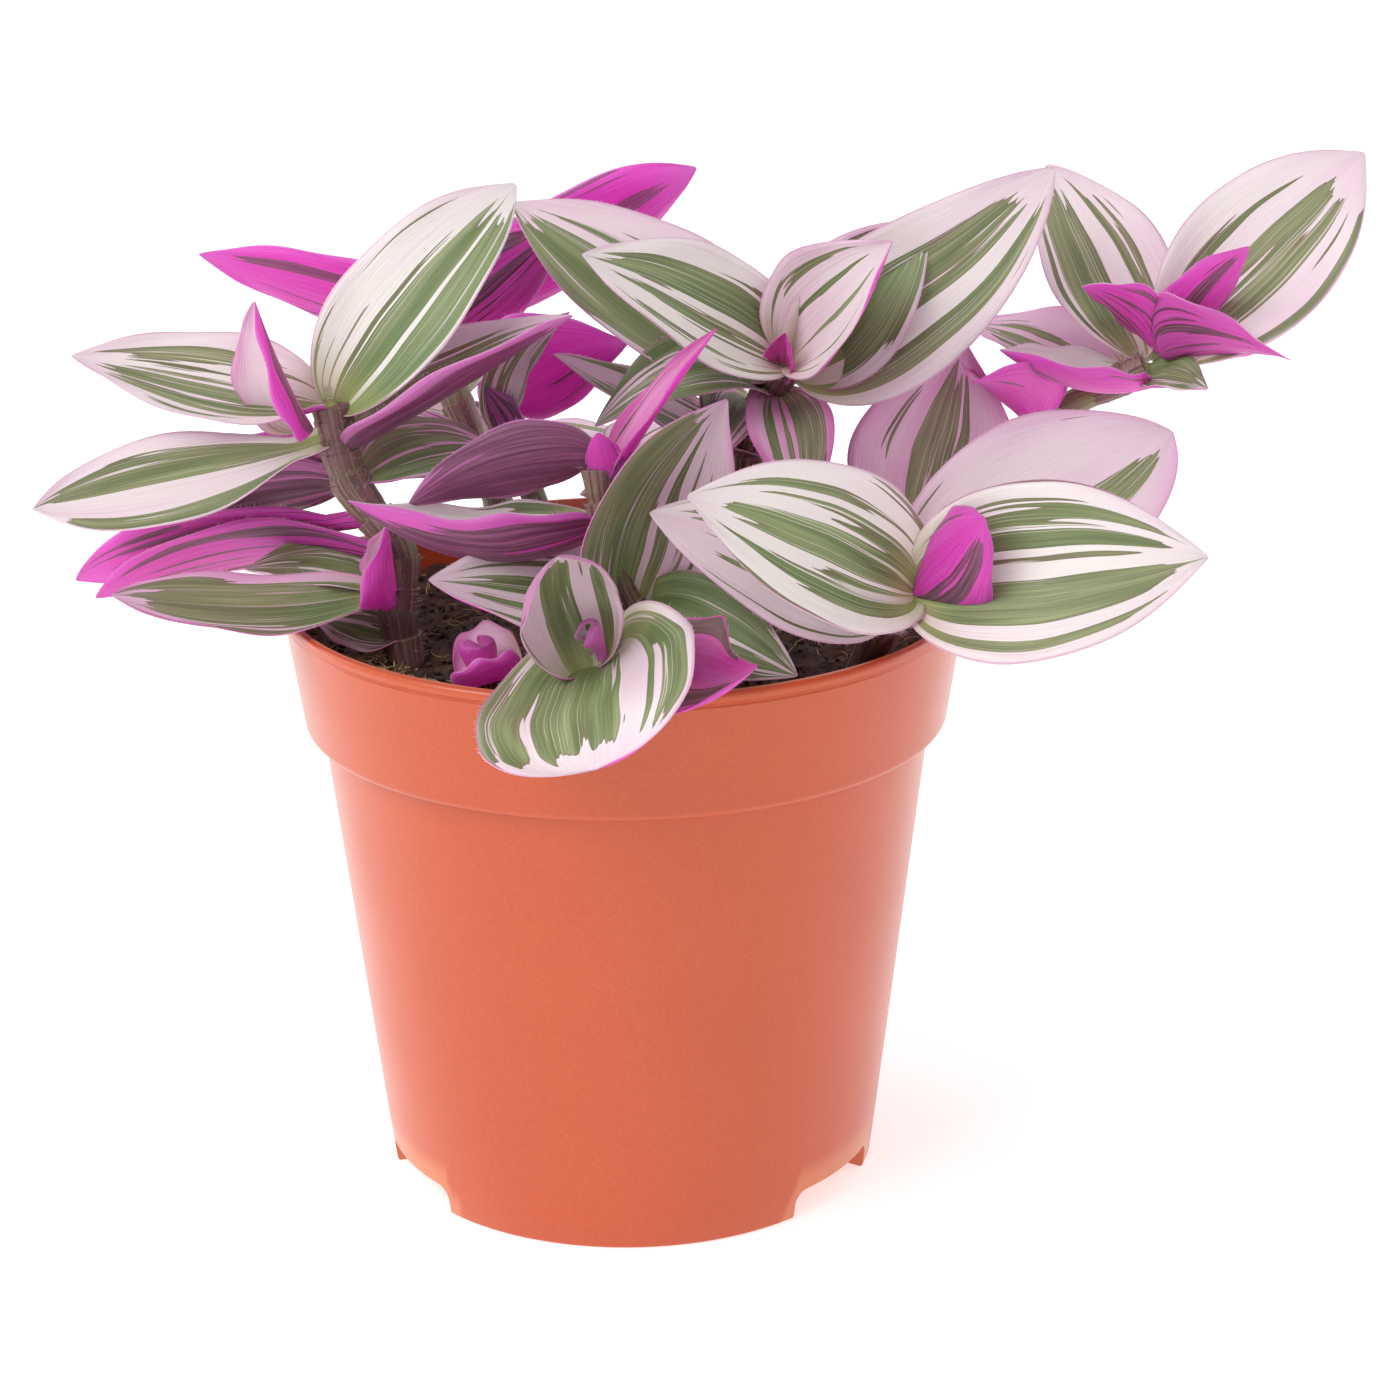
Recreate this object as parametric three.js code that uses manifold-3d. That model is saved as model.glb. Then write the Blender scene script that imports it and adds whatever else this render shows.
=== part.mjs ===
// A potted tradescantia: a moulded nursery pot, its plug of peat and the leafy shoots that stand in it.
// Millimetres, +Z up. The layout is drawn about the pot's axis, with the front of the plant towards -Y;
// the finished group is then moved so that the middle of its own box stands over the origin.
import * as THREE from 'three';
import { mergeVertices } from 'three/addons/utils/BufferGeometryUtils.js';
import Module from 'manifold-3d';

const wasm = await Module();
wasm.setup();

// ---------------------------------------------------------------- driving dimensions

const pot = {
  height: 106,
  rimRadius: 60, // outside of the rolled lip
  lipHeight: 2.2,
  lipEdge: 0.9, // rounding of the lip
  collarTopRadius: 59.3,
  collarBottomRadius: 56.3,
  collarBottom: 83.3, // height of the collar's lower edge
  collarEdge: 1.6, // rounding of that edge
  bodyTopRadius: 53.4,
  baseRadius: 43.5,
  wall: 1.2,
  recessRadius: 38.5, // hollow under the raised floor
  footHeight: 5.2,
  footDraft: 0.8, // how much a foot's inner side leans
  footEdge: 0.6, // bevel at its outer edge
  notchCount: 3, // three notches leave three broad feet
  notchWidth: 24,
  notchFlare: 0.6, // how much wider a notch is at the ground
  notchCorner: 2.4,
  notchReach: 23, // how far in from the axis a notch starts
  drainHoles: 6,
  drainRing: 25,
  drainRadius: 3.2,
  drainSides: 8,
  segments: 32,
  tolerance: 0.05, // faces flatter than this are joined
};
const soil = {
  level: 97, // mean height of the surface
  lumps: [[0.7, 0.31, 0.27, 1.3], [0.5, -0.41, 0.53, 0]], // waves: height, radians a mm in x and y, phase
  gap: 0.3, // clearance to the pot and round each stem
  rings: 5,
  segments: 20,
  floor: 6.9, // it rests above the raised floor and bridges the hollow feet
  tolerance: 0.25, // faces flatter than this are joined
};
const blade = {
  thickness: 0.9,
  rows: 6, // steps from base to tip
  columns: 4, // steps from edge to edge
  rolledColumns: 6, // the same for a young leaf that is still rolled up
  rolledCup: 90, // which is one whose edges turn by more than this to each side, in degrees
  pullAt: 0.45, // share of the length at which the midrib is pulled and the leaf faces its way
  claspHalfWidth: 3.6, // half-width where the leaf wraps its stem
  claspCup: 100, // and how far it wraps, in degrees to each side
  claspFade: 6, // how fast the wrap opens out
  tipHalfWidth: 0.35,
  edgeWave: 0.5, // height of the waves along the margin
  wavesAlong: 14, // radians of wave from base to tip
  wavesAcross: 7, // and from the midrib to the margin
  waveFadeHalfWidth: 4, // the waves die out where the leaf is narrower
  tolerance: 0.4, // faces flatter than this are joined
};
const stalk = {
  rings: 7,
  sides: 6,
  taper: 0.12, // share of its radius that a stem loses towards its top
  nodeSwelling: 0.22, // share that it gains at a leaf node
  crown: 0.4, // height of its blunt top, as a share of its radius
};

const sameSpot = 1e-4; // corners nearer than this are one

// ---------------------------------------------------------------- solids from geometries

/** A closed solid from a closed geometry whose faces point outwards. */
function solidOf(geometry) {
  const bare = geometry.index ? geometry.toNonIndexed() : geometry.clone();
  bare.deleteAttribute('normal');
  bare.deleteAttribute('uv');
  const merged = mergeVertices(bare, sameSpot);
  const vertProperties = new Float32Array(merged.attributes.position.array);
  const corners = [...merged.index.array];
  const kept = [];
  for (let i = 0; i < corners.length; i += 3) {
    const [a, b, c] = corners.slice(i, i + 3);
    if (a !== b && b !== c && c !== a) kept.push(a, b, c);
  }
  const mesh = new wasm.Mesh({ numProp: 3, vertProperties, triVerts: new Uint32Array(kept) });
  return new wasm.Manifold(mesh);
}

/** The largest connected body of a solid: sealed pockets and loose scraps are left behind. */
function mainBody(solid) {
  const bodies = solid.decompose();
  return bodies.reduce((best, body) => (body.volume() > best.volume() ? body : best));
}

/** A named mesh of a solid, with a plain finish. */
function meshOf(name, solid, color, roughness) {
  const { vertProperties, triVerts } = solid.getMesh();
  const geometry = new THREE.BufferGeometry();
  geometry.setAttribute('position', new THREE.BufferAttribute(new Float32Array(vertProperties), 3));
  geometry.setIndex([...triVerts]);
  const material = new THREE.MeshStandardMaterial({ color, roughness, metalness: 0, flatShading: true });
  const mesh = new THREE.Mesh(geometry, material);
  mesh.name = name;
  return mesh;
}

// ---------------------------------------------------------------- the pot

/** A solid turned about Z from a profile of [radius, height] points, which starts and ends on the axis. */
function turned(profile, segments) {
  const points = profile.map(([radius, height]) => new THREE.Vector2(radius, height));
  return solidOf(new THREE.LatheGeometry(points, segments).rotateX(Math.PI / 2));
}

/** Points on a quarter round of the given radius about [r, z], from one angle to another in degrees. */
function rounding(r, z, radius, from, to, steps) {
  return Array.from({ length: steps + 1 }, (_, i) => {
    const angle = THREE.MathUtils.degToRad(from + ((to - from) * i) / steps);
    return [r + radius * Math.cos(angle), z + radius * Math.sin(angle)];
  });
}

/** Outer radius of the tapered body at a height below the collar. */
function bodyRadius(z) {
  return THREE.MathUtils.lerp(pot.baseRadius, pot.bodyTopRadius, z / pot.collarBottom);
}

/**
 * The pot's shape as a full turned body, drawn in by an inset: 0 gives the outside, the wall's
 * thickness gives the hollow inside, and a little more gives the soil that fills it.
 */
function potBody(inset, top) {
  const collarInset = pot.collarBottomRadius - pot.collarEdge - inset;
  const edge = rounding(collarInset, pot.collarBottom + pot.collarEdge, pot.collarEdge, -90, 0, 2);
  const lip = inset > 0
    ? [[pot.collarTopRadius - inset, pot.height - pot.lipHeight], [pot.collarTopRadius - inset, top]]
    : [
      [pot.collarTopRadius, pot.height - pot.lipHeight],
      ...rounding(pot.rimRadius - pot.lipEdge, pot.height - pot.lipEdge, pot.lipEdge, -45, 90, 2),
    ];
  return turned([
    [0, pot.footHeight + inset],
    [pot.recessRadius + inset, pot.footHeight + inset],
    [pot.recessRadius + pot.footDraft + inset, inset],
    [pot.baseRadius - pot.footEdge - inset, inset],
    [pot.baseRadius - inset, inset + pot.footEdge],
    [bodyRadius(pot.collarBottom) - inset, pot.collarBottom + inset],
    ...edge.map(([r, z]) => [r, z + inset]),
    ...lip,
    [0, top],
  ], pot.segments);
}

/** The notches between the feet, each a rounded block laid outwards, made bigger by a margin. */
function notches(margin) {
  const half = pot.notchWidth / 2 + margin;
  const height = pot.footHeight + margin;
  const corner = pot.notchCorner;
  const outline = new THREE.Shape();
  outline.moveTo(-half - pot.notchFlare, -1);
  outline.lineTo(half + pot.notchFlare, -1);
  outline.lineTo(half, height - corner);
  outline.absarc(half - corner, height - corner, corner, 0, Math.PI / 2, false);
  outline.absarc(-half + corner, height - corner, corner, Math.PI / 2, Math.PI, false);
  const reach = 2 * pot.baseRadius;
  const block = new THREE.ExtrudeGeometry(outline, { depth: reach, bevelEnabled: false, curveSegments: 3 });
  block.rotateX(Math.PI / 2).translate(0, -pot.notchReach, 0);
  const all = [];
  for (let i = 0; i < pot.notchCount; i++) {
    const turn = ((i + 0.5) * 2 * Math.PI) / pot.notchCount;
    all.push(solidOf(block.clone().rotateZ(turn)));
  }
  return all;
}

/** The holes in the raised floor that let water out. */
function drains() {
  const depth = 4 * pot.wall;
  const all = [];
  for (let i = 0; i < pot.drainHoles; i++) {
    const angle = (i * 2 * Math.PI) / pot.drainHoles;
    const hole = new THREE.CylinderGeometry(pot.drainRadius, pot.drainRadius, depth, pot.drainSides);
    hole.rotateX(Math.PI / 2);
    hole.translate(pot.drainRing * Math.cos(angle), pot.drainRing * Math.sin(angle), pot.footHeight);
    all.push(solidOf(hole));
  }
  return all;
}

/** What fills the pot's shape at an inset, with the notches taken out of it. */
function cutBody(inset, top) {
  return notches(inset).reduce((body, notch) => body.subtract(notch), potBody(inset, top));
}

function makePot() {
  const hollow = cutBody(pot.wall, pot.height + 2);
  const shell = cutBody(0, pot.height).subtract(hollow);
  const drained = drains().reduce((body, hole) => body.subtract(hole), shell);
  return mainBody(drained.simplify(pot.tolerance));
}

// ---------------------------------------------------------------- leafy shoots

const vec = (point) => new THREE.Vector3(...point);

/** Share of the full width at a share u of the length: ovate, widest a little below the middle. */
function ovate(u, [rise, fall]) {
  const peak = rise / (rise + fall);
  return (u / peak) ** rise * ((1 - u) / (1 - peak)) ** fall;
}

/** The part of a vector that is square to a unit direction, at unit length. */
function squareTo(direction, vector) {
  return vector.clone().addScaledVector(direction, -vector.dot(direction)).normalize();
}

/** How far the margin waves up or down at a share u of the length and s of the half-width. */
function edgeWave(u, s, half, phase) {
  const ripple = Math.sin(blade.wavesAlong * u + blade.wavesAcross * s + phase);
  return blade.edgeWave * ripple * Math.abs(s) ** 3 * Math.min(1, half / blade.waveFadeHalfWidth);
}

/** The leaf's middle surface as rows of points from base to tip, each from one edge to the other. */
function leafSheet({ base, tip, width, face, bow = 0, sway = 0, cup = 22, via, outline = [0.6, 0.85] }) {
  const { rows } = blade;
  const columns = cup > blade.rolledCup ? blade.rolledColumns : blade.columns;
  const [start, end] = [vec(base), vec(tip)];
  const chord = end.clone().sub(start);
  const length = chord.length();
  const along = chord.clone().normalize();
  const up = squareTo(along, vec(face));
  const side = along.clone().cross(up);
  const middle = via ? vec(via) : start.clone().addScaledVector(chord, blade.pullAt)
    .addScaledVector(up, 2 * bow * length).addScaledVector(side, sway * length);
  const rib = new THREE.QuadraticBezierCurve3(start, middle, end);
  const shares = Array.from({ length: rows + 1 }, (_, i) => (1 - Math.cos((Math.PI * i) / rows)) / 2);
  const tangents = shares.map((u) => rib.getTangent(u));
  const home = Math.round(rows * blade.pullAt);
  const normals = [];
  normals[home] = squareTo(tangents[home], vec(face));
  for (let i = home + 1; i <= rows; i++) normals[i] = squareTo(tangents[i], normals[i - 1]);
  for (let i = home - 1; i >= 0; i--) normals[i] = squareTo(tangents[i], normals[i + 1]);
  const sheet = [];
  for (let i = 0; i <= rows; i++) {
    const u = shares[i];
    const clasp = blade.claspHalfWidth * (1 - u) ** 2;
    const half = Math.max((width / 2) * ovate(u, outline), clasp, blade.tipHalfWidth);
    const wrap = cup + Math.max(blade.claspCup - cup, 0) * (1 - u) ** blade.claspFade;
    const bend = THREE.MathUtils.degToRad(wrap);
    const across = tangents[i].clone().cross(normals[i]);
    const row = [];
    for (let j = 0; j <= columns; j++) {
      const s = (2 * j) / columns - 1;
      const wave = edgeWave(u, s, half, width);
      const out = (half / bend) * Math.sin(bend * s);
      const lift = (half / bend) * (1 - Math.cos(bend * s)) + wave;
      row.push(rib.getPoint(u).addScaledVector(across, out).addScaledVector(normals[i], lift));
    }
    sheet.push(row);
  }
  return sheet;
}

/** A closed blade round a sheet of points: both faces are split into triangles alike. */
function thicken(sheet, thickness) {
  const rows = sheet.length;
  const columns = sheet[0].length;
  const at = (i, j) => sheet[Math.min(Math.max(i, 0), rows - 1)][Math.min(Math.max(j, 0), columns - 1)];
  const upper = [];
  const lower = [];
  for (let i = 0; i < rows; i++) {
    for (let j = 0; j < columns; j++) {
      const along = at(i + 1, j).clone().sub(at(i - 1, j));
      const across = at(i, j + 1).clone().sub(at(i, j - 1));
      const normal = across.cross(along).normalize().multiplyScalar(thickness / 2);
      upper.push(at(i, j).clone().add(normal));
      lower.push(at(i, j).clone().sub(normal));
    }
  }
  const points = [...upper, ...lower];
  const count = rows * columns;
  const faces = [];
  const quad = (a, b, c, d) => faces.push(a, b, c, a, c, d);
  for (let i = 0; i + 1 < rows; i++) {
    for (let j = 0; j + 1 < columns; j++) {
      const [a, b] = [i * columns + j, i * columns + j + 1];
      const [c, d] = [b + columns, a + columns];
      quad(a, b, c, d);
      faces.push(a + count, c + count, b + count, a + count, d + count, c + count);
    }
  }
  const rim = [];
  for (let j = 0; j + 1 < columns; j++) rim.push(j);
  for (let i = 0; i + 1 < rows; i++) rim.push(i * columns + columns - 1);
  for (let j = columns - 1; j > 0; j--) rim.push((rows - 1) * columns + j);
  for (let i = rows - 1; i > 0; i--) rim.push(i * columns);
  rim.forEach((a, k) => {
    const b = rim[(k + 1) % rim.length];
    quad(a, a + count, b + count, b);
  });
  const geometry = new THREE.BufferGeometry();
  geometry.setAttribute('position', new THREE.Float32BufferAttribute(points.flatMap((p) => p.toArray()), 3));
  geometry.setIndex(faces);
  return geometry;
}

/** A stem through its points, with a swollen ring at each inner one, where leaves have grown. */
function stemGeometry(points, radius, margin = 0) {
  const curve = new THREE.CatmullRomCurve3(points.map(vec), false, 'centripetal');
  const { rings, sides } = stalk;
  const frames = curve.computeFrenetFrames(rings, false);
  const spots = [];
  for (let i = 0; i <= rings; i++) {
    const u = i / rings;
    const centre = curve.getPointAt(u).addScaledVector(frames.tangents[i], i === 0 ? -margin : 0);
    const nearest = Math.min(...points.slice(1).map((p) => vec(p).distanceTo(centre)));
    const swelling = stalk.nodeSwelling * Math.exp(-((nearest / radius) ** 2));
    const r = radius * (1 - stalk.taper * u + swelling) + margin;
    for (let k = 0; k < sides; k++) {
      const angle = (2 * Math.PI * k) / sides;
      spots.push(centre.clone()
        .addScaledVector(frames.normals[i], r * Math.cos(angle))
        .addScaledVector(frames.binormals[i], r * Math.sin(angle)));
    }
  }
  spots.push(curve.getPointAt(0).addScaledVector(frames.tangents[0], -margin));
  spots.push(curve.getPointAt(1).addScaledVector(frames.tangents[rings], stalk.crown * radius + margin));
  const faces = [];
  for (let k = 0; k < sides; k++) {
    const next = (k + 1) % sides;
    for (let i = 0; i < rings; i++) {
      const [a, b] = [i * sides + k, i * sides + next];
      faces.push(a, b, b + sides, a, b + sides, a + sides);
    }
    faces.push(spots.length - 2, next, k, spots.length - 1, rings * sides + k, rings * sides + next);
  }
  const geometry = new THREE.BufferGeometry();
  geometry.setAttribute('position', new THREE.Float32BufferAttribute(spots.flatMap((p) => p.toArray()), 3));
  geometry.setIndex(faces);
  return geometry;
}

/** One shoot in one piece: the stem with all of its leaves fused to it. */
function makeShoot({ stem, radius, leaves }) {
  const whole = leaves.reduce(
    (body, leaf) => body.add(solidOf(thicken(leafSheet(leaf), blade.thickness))),
    solidOf(stemGeometry(stem, radius)),
  );
  return mainBody(whole.simplify(blade.tolerance));
}

// Each shoot has the points that its stem passes and its leaves. A leaf runs from its base on the stem to
// its tip; face is the way its upper side looks, bow how far it arches, sway how far it bends sideways,
// cup how far its edges rise to each side in degrees, via a point that pulls its midrib.
const shoots = [
  {
    name: 'shoot_left_front',
    color: '#b9a9a4',
    stem: [[-35, -14, 86], [-38, -14, 105], [-38, -12, 116], [-46, -10, 128], [-49, -10, 142]],
    radius: 3,
    leaves: [
      {
        base: [-48, -9, 140], tip: [-18, 5, 176], width: 23, face: [-0.2, -0.9, 0.4],
        bow: 0.1, cup: 28, outline: [0.42, 0.62],
      },
      {
        base: [-49, -10, 141], tip: [-92, -12, 150], width: 21, face: [0.1, -0.6, 0.8],
        bow: -0.04, cup: 34, sway: 0.03,
      },
      {
        base: [-52, -12.5, 138], tip: [-59.6, -17, 160.5], width: 20, face: [-0.85, -0.65, 0.1],
        bow: 0.05, cup: 78, outline: [0.4, 0.75],
      },
      {
        base: [-49, -12, 135], tip: [-98, -22, 126], width: 18.5, face: [-0.1, -0.7, 0.7],
        bow: -0.03, cup: 22, sway: -0.01, outline: [1.2, 0.8],
      },
      {
        base: [-47, -9, 127], tip: [-89.4, 3, 112.8], width: 21, face: [0, 0.8, 0.6],
        bow: 0.06, cup: 25,
      },
      {
        base: [-43, -9, 120], tip: [-98, 6, 105], width: 17, face: [0, 0.8, 0.6],
        bow: 0.03, cup: 25, outline: [1.2, 0.7],
      },
      {
        base: [-39, -11, 114], tip: [-92.9, -2, 104.2], width: 15, face: [0, 0.75, 0.7],
        bow: 0.1, cup: 25, outline: [0.8, 0.7],
      },
      {
        base: [-38, -15, 110], tip: [-81, -42, 117], width: 17, face: [-0.1, -0.5, 0.9],
        bow: -0.07, cup: 25, sway: -0.02, outline: [0.7, 0.6],
      },
      {
        base: [-38, -17, 108], tip: [-38.5, -20, 123.2], width: 24, face: [-1, -0.1, 0.05],
        cup: 75, outline: [0.7, 0.7],
      },
      {
        base: [-39, -11, 108.5], tip: [-65.2, -8, 111.4], width: 16, face: [0, -0.3, 0.9],
        bow: 0.12, cup: 20,
      },
      {
        base: [-46, -9, 133], tip: [-8, -3, 155], width: 25, face: [0, -0.12, 1],
        cup: 75, via: [-33, -11, 141], outline: [0.5, 0.6],
      },
      { base: [-45, -8, 127], tip: [-22, 3, 130], width: 16, face: [0, -0.5, 0.8], bow: 0.15, cup: 25 },
      {
        base: [-37, -14, 101], tip: [-53, -10, 103], width: 14, face: [0, -0.6, 0.8],
        bow: 0.1, cup: 25,
      },
      { base: [-45, -6, 129], tip: [-86, 4, 119], width: 18, face: [0, 0.85, 0.5], bow: 0.05, cup: 25 },
    ],
  },
  {
    name: 'shoot_back_left',
    color: '#b2559d',
    stem: [[-18, 22, 86], [-24, 26, 112], [-32, 30, 132], [-38, 34, 146]],
    radius: 2.6,
    leaves: [
      {
        base: [-36, 33, 146], tip: [-79, 38, 157], width: 17, face: [0, 0.85, 0.5],
        bow: -0.02, cup: 25,
      },
      {
        base: [-36, 33, 143], tip: [-13, 32, 163], width: 18, face: [0.3, 0.8, 0.5],
        bow: 0.05, cup: 25,
      },
      {
        base: [-36, 34, 145], tip: [11, 42, 172], width: 21, face: [-0.3, 0.9, 0.4],
        bow: -0.02, cup: 30, outline: [0.6, 0.6],
      },
      { base: [-28, 28, 124], tip: [-62, 60, 120], width: 22, face: [0, 0.3, 0.95], bow: 0.1, cup: 25 },
      {
        base: [-33, 32, 130], tip: [-40, 76, 120], width: 22, face: [0, 0.2, 0.95],
        bow: 0.15, cup: 25,
      },
    ],
  },
  {
    name: 'shoot_centre_back',
    color: '#c23fa4',
    stem: [[-8, 8, 86], [-14, 9, 112], [-22, 11, 134]],
    radius: 2.4,
    leaves: [
      { base: [-22, 11, 136], tip: [0, 16, 146], width: 28, face: [0, 0.9, 0.45], bow: 0.05, cup: 40 },
      {
        base: [-22.2, 10, 130.6], tip: [-9, 4, 154.1], width: 10, face: [0.6, -0.7, 0.5],
        cup: 40, via: [-25.5, 7, 146],
      },
      { base: [-20, 10, 126], tip: [-25.2, 6, 141.2], width: 11, face: [0.3, 0.8, 0.3], cup: 70 },
    ],
  },
  {
    name: 'shoot_centre_top',
    color: '#bdb6a8',
    stem: [[22, 34, 86], [20, 30, 112], [22, 22, 130], [28, 13, 143]],
    radius: 2.8,
    leaves: [
      { base: [28, 13, 143], tip: [-6, -5, 166], width: 24, face: [0, -0.7, 0.7], bow: 0.06, cup: 22 },
      {
        base: [25, 18, 139], tip: [-21, 30, 168], width: 27, face: [0.1, -0.7, 0.7],
        bow: 0.1, cup: 22, sway: -0.07,
      },
      {
        base: [29, 11, 142], tip: [74, 20, 176], width: 28, face: [0.2, -0.9, 0.4],
        bow: 0.04, cup: 22, sway: 0.09, outline: [0.38, 0.75],
      },
      { base: [28, 11, 144], tip: [46, -4, 168], width: 26, face: [-0.6, -0.7, 0.3], cup: 55 },
      { base: [28, 10, 143], tip: [28, 2, 151], width: 8, face: [-0.2, -0.7, 0.3], cup: 80 },
      {
        base: [30, 14, 141], tip: [52.2, 17, 168], width: 24, face: [0.1, -0.8, 0.5],
        bow: 0.1, cup: 22, outline: [0.5, 0.8],
      },
      {
        base: [26, 16, 137], tip: [31, -6, 121], width: 16, face: [0.2, -0.8, 0.4],
        bow: 0.12, cup: 25,
      },
      { base: [22, 24, 133], tip: [16, 4, 128], width: 17, face: [0, -0.6, 0.8], bow: 0.2, cup: 40 },
      { base: [24, 19, 135], tip: [-5, 4, 134], width: 16, face: [0, -0.6, 0.8], bow: 0.35, cup: 25 },
      { base: [21, 25, 124], tip: [-12, 3, 147], width: 12, face: [0, -0.6, 0.8], cup: 25 },
    ],
  },
  {
    name: 'shoot_right_back',
    color: '#cdb6c2',
    stem: [[40, 18, 86], [50, 22, 110], [72, 22, 130], [92, 21, 141]],
    radius: 2.6,
    leaves: [
      {
        base: [93, 21, 141], tip: [129, 35, 176], width: 28, face: [-0.1, -0.9, 0.4],
        bow: 0.06, cup: 20, outline: [0.7, 0.7],
      },
      {
        base: [91, 23, 141], tip: [74, 45, 172], width: 24, face: [0.2, -0.8, 0.5],
        bow: 0.06, cup: 20, outline: [0.5, 0.7],
      },
      { base: [94, 20, 143], tip: [107, 12, 164], width: 15, face: [-0.3, 0.8, 0.3], cup: 60 },
      {
        base: [93.5, 19, 143], tip: [114, 4, 146.1], width: 24, face: [0, 0.75, 0.65],
        bow: 0.1, cup: 40, outline: [0.4, 1.6],
      },
      {
        base: [93, 19, 144], tip: [79, 14, 156.5], width: 13, face: [0.1, 0.6, 0.75],
        bow: 0.14, cup: 35, outline: [0.5, 0.8],
      },
      {
        base: [91, 19, 137.5], tip: [64.8, 8, 146.7], width: 21, face: [0, -0.05, 1],
        bow: -0.1, cup: 68, outline: [0.5, 0.7],
      },
      { base: [87, 22, 138], tip: [61, 40, 144], width: 18, face: [0, -0.4, 0.9], bow: 0.08, cup: 20 },
      {
        base: [72, 21, 129.5], tip: [60, 2, 142.5], width: 22, face: [0.3, 0.7, 0.5],
        bow: 0.1, cup: 60, outline: [0.5, 0.5],
      },
      {
        base: [50, 21, 111], tip: [59, 22, 145], width: 33, face: [0.1, -0.95, 0.2],
        bow: 0.05, cup: 25, outline: [0.5, 0.6],
      },
      { base: [62, 22, 120], tip: [80, 62, 116], width: 22, face: [0, 0.3, 0.95], bow: 0.1, cup: 25 },
      {
        base: [90, 20, 138], tip: [100.8, 11, 139.2], width: 11.5, face: [0.1, -0.5, 0.85],
        bow: 0.12, cup: 30, outline: [0.6, 0.5],
      },
    ],
  },
  {
    name: 'shoot_right_front',
    color: '#d6c8cb',
    stem: [[38, -12, 86], [44, -26, 106], [50, -37, 117]],
    radius: 2.8,
    leaves: [
      {
        base: [50, -37, 117], tip: [96, -50, 127], width: 31, face: [0.1, -0.85, 0.5],
        bow: 0.1, cup: 22, sway: 0.03, outline: [0.5, 0.62],
      },
      {
        base: [50, -37, 117], tip: [14, -55, 138], width: 27, face: [-0.1, -0.8, 0.55],
        bow: 0.1, cup: 22, outline: [0.5, 0.65],
      },
      {
        base: [50, -38, 117], tip: [60.6, -53, 134], width: 21, face: [0.88, 0.48, 0.1],
        cup: 55, outline: [0.5, 0.75],
      },
      {
        base: [47, -31, 113], tip: [94.1, 0, 134.4], width: 32, face: [0.1, -0.75, 0.65],
        bow: 0.12, cup: 22, sway: 0.05, outline: [0.6, 0.7],
      },
      {
        base: [46, -29, 111], tip: [7, -40, 131], width: 24, face: [-0.1, -0.8, 0.55],
        bow: 0.1, cup: 22,
      },
    ],
  },
  {
    name: 'shoot_front_over_rim',
    color: '#b3b08f',
    stem: [[2, -26, 86], [1, -38, 106], [-1, -51, 112]],
    radius: 2.8,
    leaves: [
      {
        base: [0.5, -48, 109.5], tip: [1, -83, 102.4], width: 39, face: [-0.4, -0.75, 0.8],
        cup: 22, via: [-0.6, -74, 111.3], outline: [0.38, 0.32],
      },
      {
        base: [-2.8, -54.3, 108.2], tip: [-5.9, -65.7, 131.1], width: 22.5, face: [0.35, -0.9, 0.15],
        bow: -0.24, cup: 70, outline: [0.19, 0.25],
      },
      {
        base: [0.5, -54, 112], tip: [-0.5, -58, 118.5], width: 10, face: [-0.6, -0.7, 0.3],
        cup: 150, outline: [0.8, 0.2],
      },
      {
        base: [4, -47, 110], tip: [25.1, -64, 113], width: 27, face: [0, -0.55, 0.85],
        cup: 35, via: [15, -65, 105.5], outline: [0.5, 0.5],
      },
    ],
  },
  {
    name: 'shoot_rolled_up',
    color: '#d06fb4',
    stem: [[-21, -32, 86], [-20.7, -35, 93], [-20.5, -37.3, 98.5], [-20.5, -38.2, 101]],
    radius: 2.2,
    leaves: [
      {
        base: [-14.2, -37.6, 103.4], tip: [-25.2, -38.7, 100.2], width: 26.4, face: [0.14, 0.03, 0.8],
        bow: 0.01, cup: 62, outline: [0.35, 0.28],
      },
      {
        base: [-20, -38, 99.5], tip: [-20.6, -39.6, 107.8], width: 16, face: [-0.5, 0.8, 0.4],
        cup: 155, outline: [0.9, 0.15],
      },
    ],
  },
  {
    name: 'shoot_centre_front',
    color: '#a8809c',
    stem: [[6, -18, 86], [4, -28, 108], [0, -30, 120], [-2, -28, 136]],
    radius: 2.6,
    leaves: [
      {
        base: [3, -29, 111], tip: [19, -25, 146], width: 33, face: [0.5, -0.85, 0.1],
        bow: 0.05, cup: 50, sway: -0.25, outline: [0.45, 0.7],
      },
      {
        base: [-2.3, -28, 128.9], tip: [17.4, -24, 157.7], width: 9, face: [-0.85, -0.5, 0.3],
        bow: 0.03, cup: 80,
      },
      {
        base: [-0.9, -29, 129], tip: [-1.7, -32, 142.2], width: 9, face: [0.3, 0.8, 0.3],
        cup: 60, outline: [0.9, 0.7],
      },
      {
        base: [-1, -29, 125], tip: [-43.2, -32, 130.5], width: 28, face: [0, 0.16, 1],
        bow: -0.17, cup: 82, outline: [0.45, 0.7],
      },
      {
        base: [-2, -27, 136.5], tip: [-34.1, -26, 128.1], width: 15.5, face: [0, 0.9, 0.35],
        bow: -0.02, cup: 35, sway: -0.16, outline: [0.5, 0.9],
      },
      {
        base: [3, -29, 112], tip: [-29, -42, 120], width: 23, face: [0, -0.6, 0.8],
        bow: -0.03, cup: 40,
      },
      {
        base: [4, -28, 111], tip: [31, -45, 105], width: 18, face: [0.1, -0.8, 0.5],
        bow: 0.1, cup: 20,
      },
    ],
  },
  {
    name: 'shoot_back',
    color: '#b6aaa2',
    stem: [[-2, 34, 86], [-2, 44, 104], [-4, 54, 113]],
    radius: 2.6,
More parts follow.
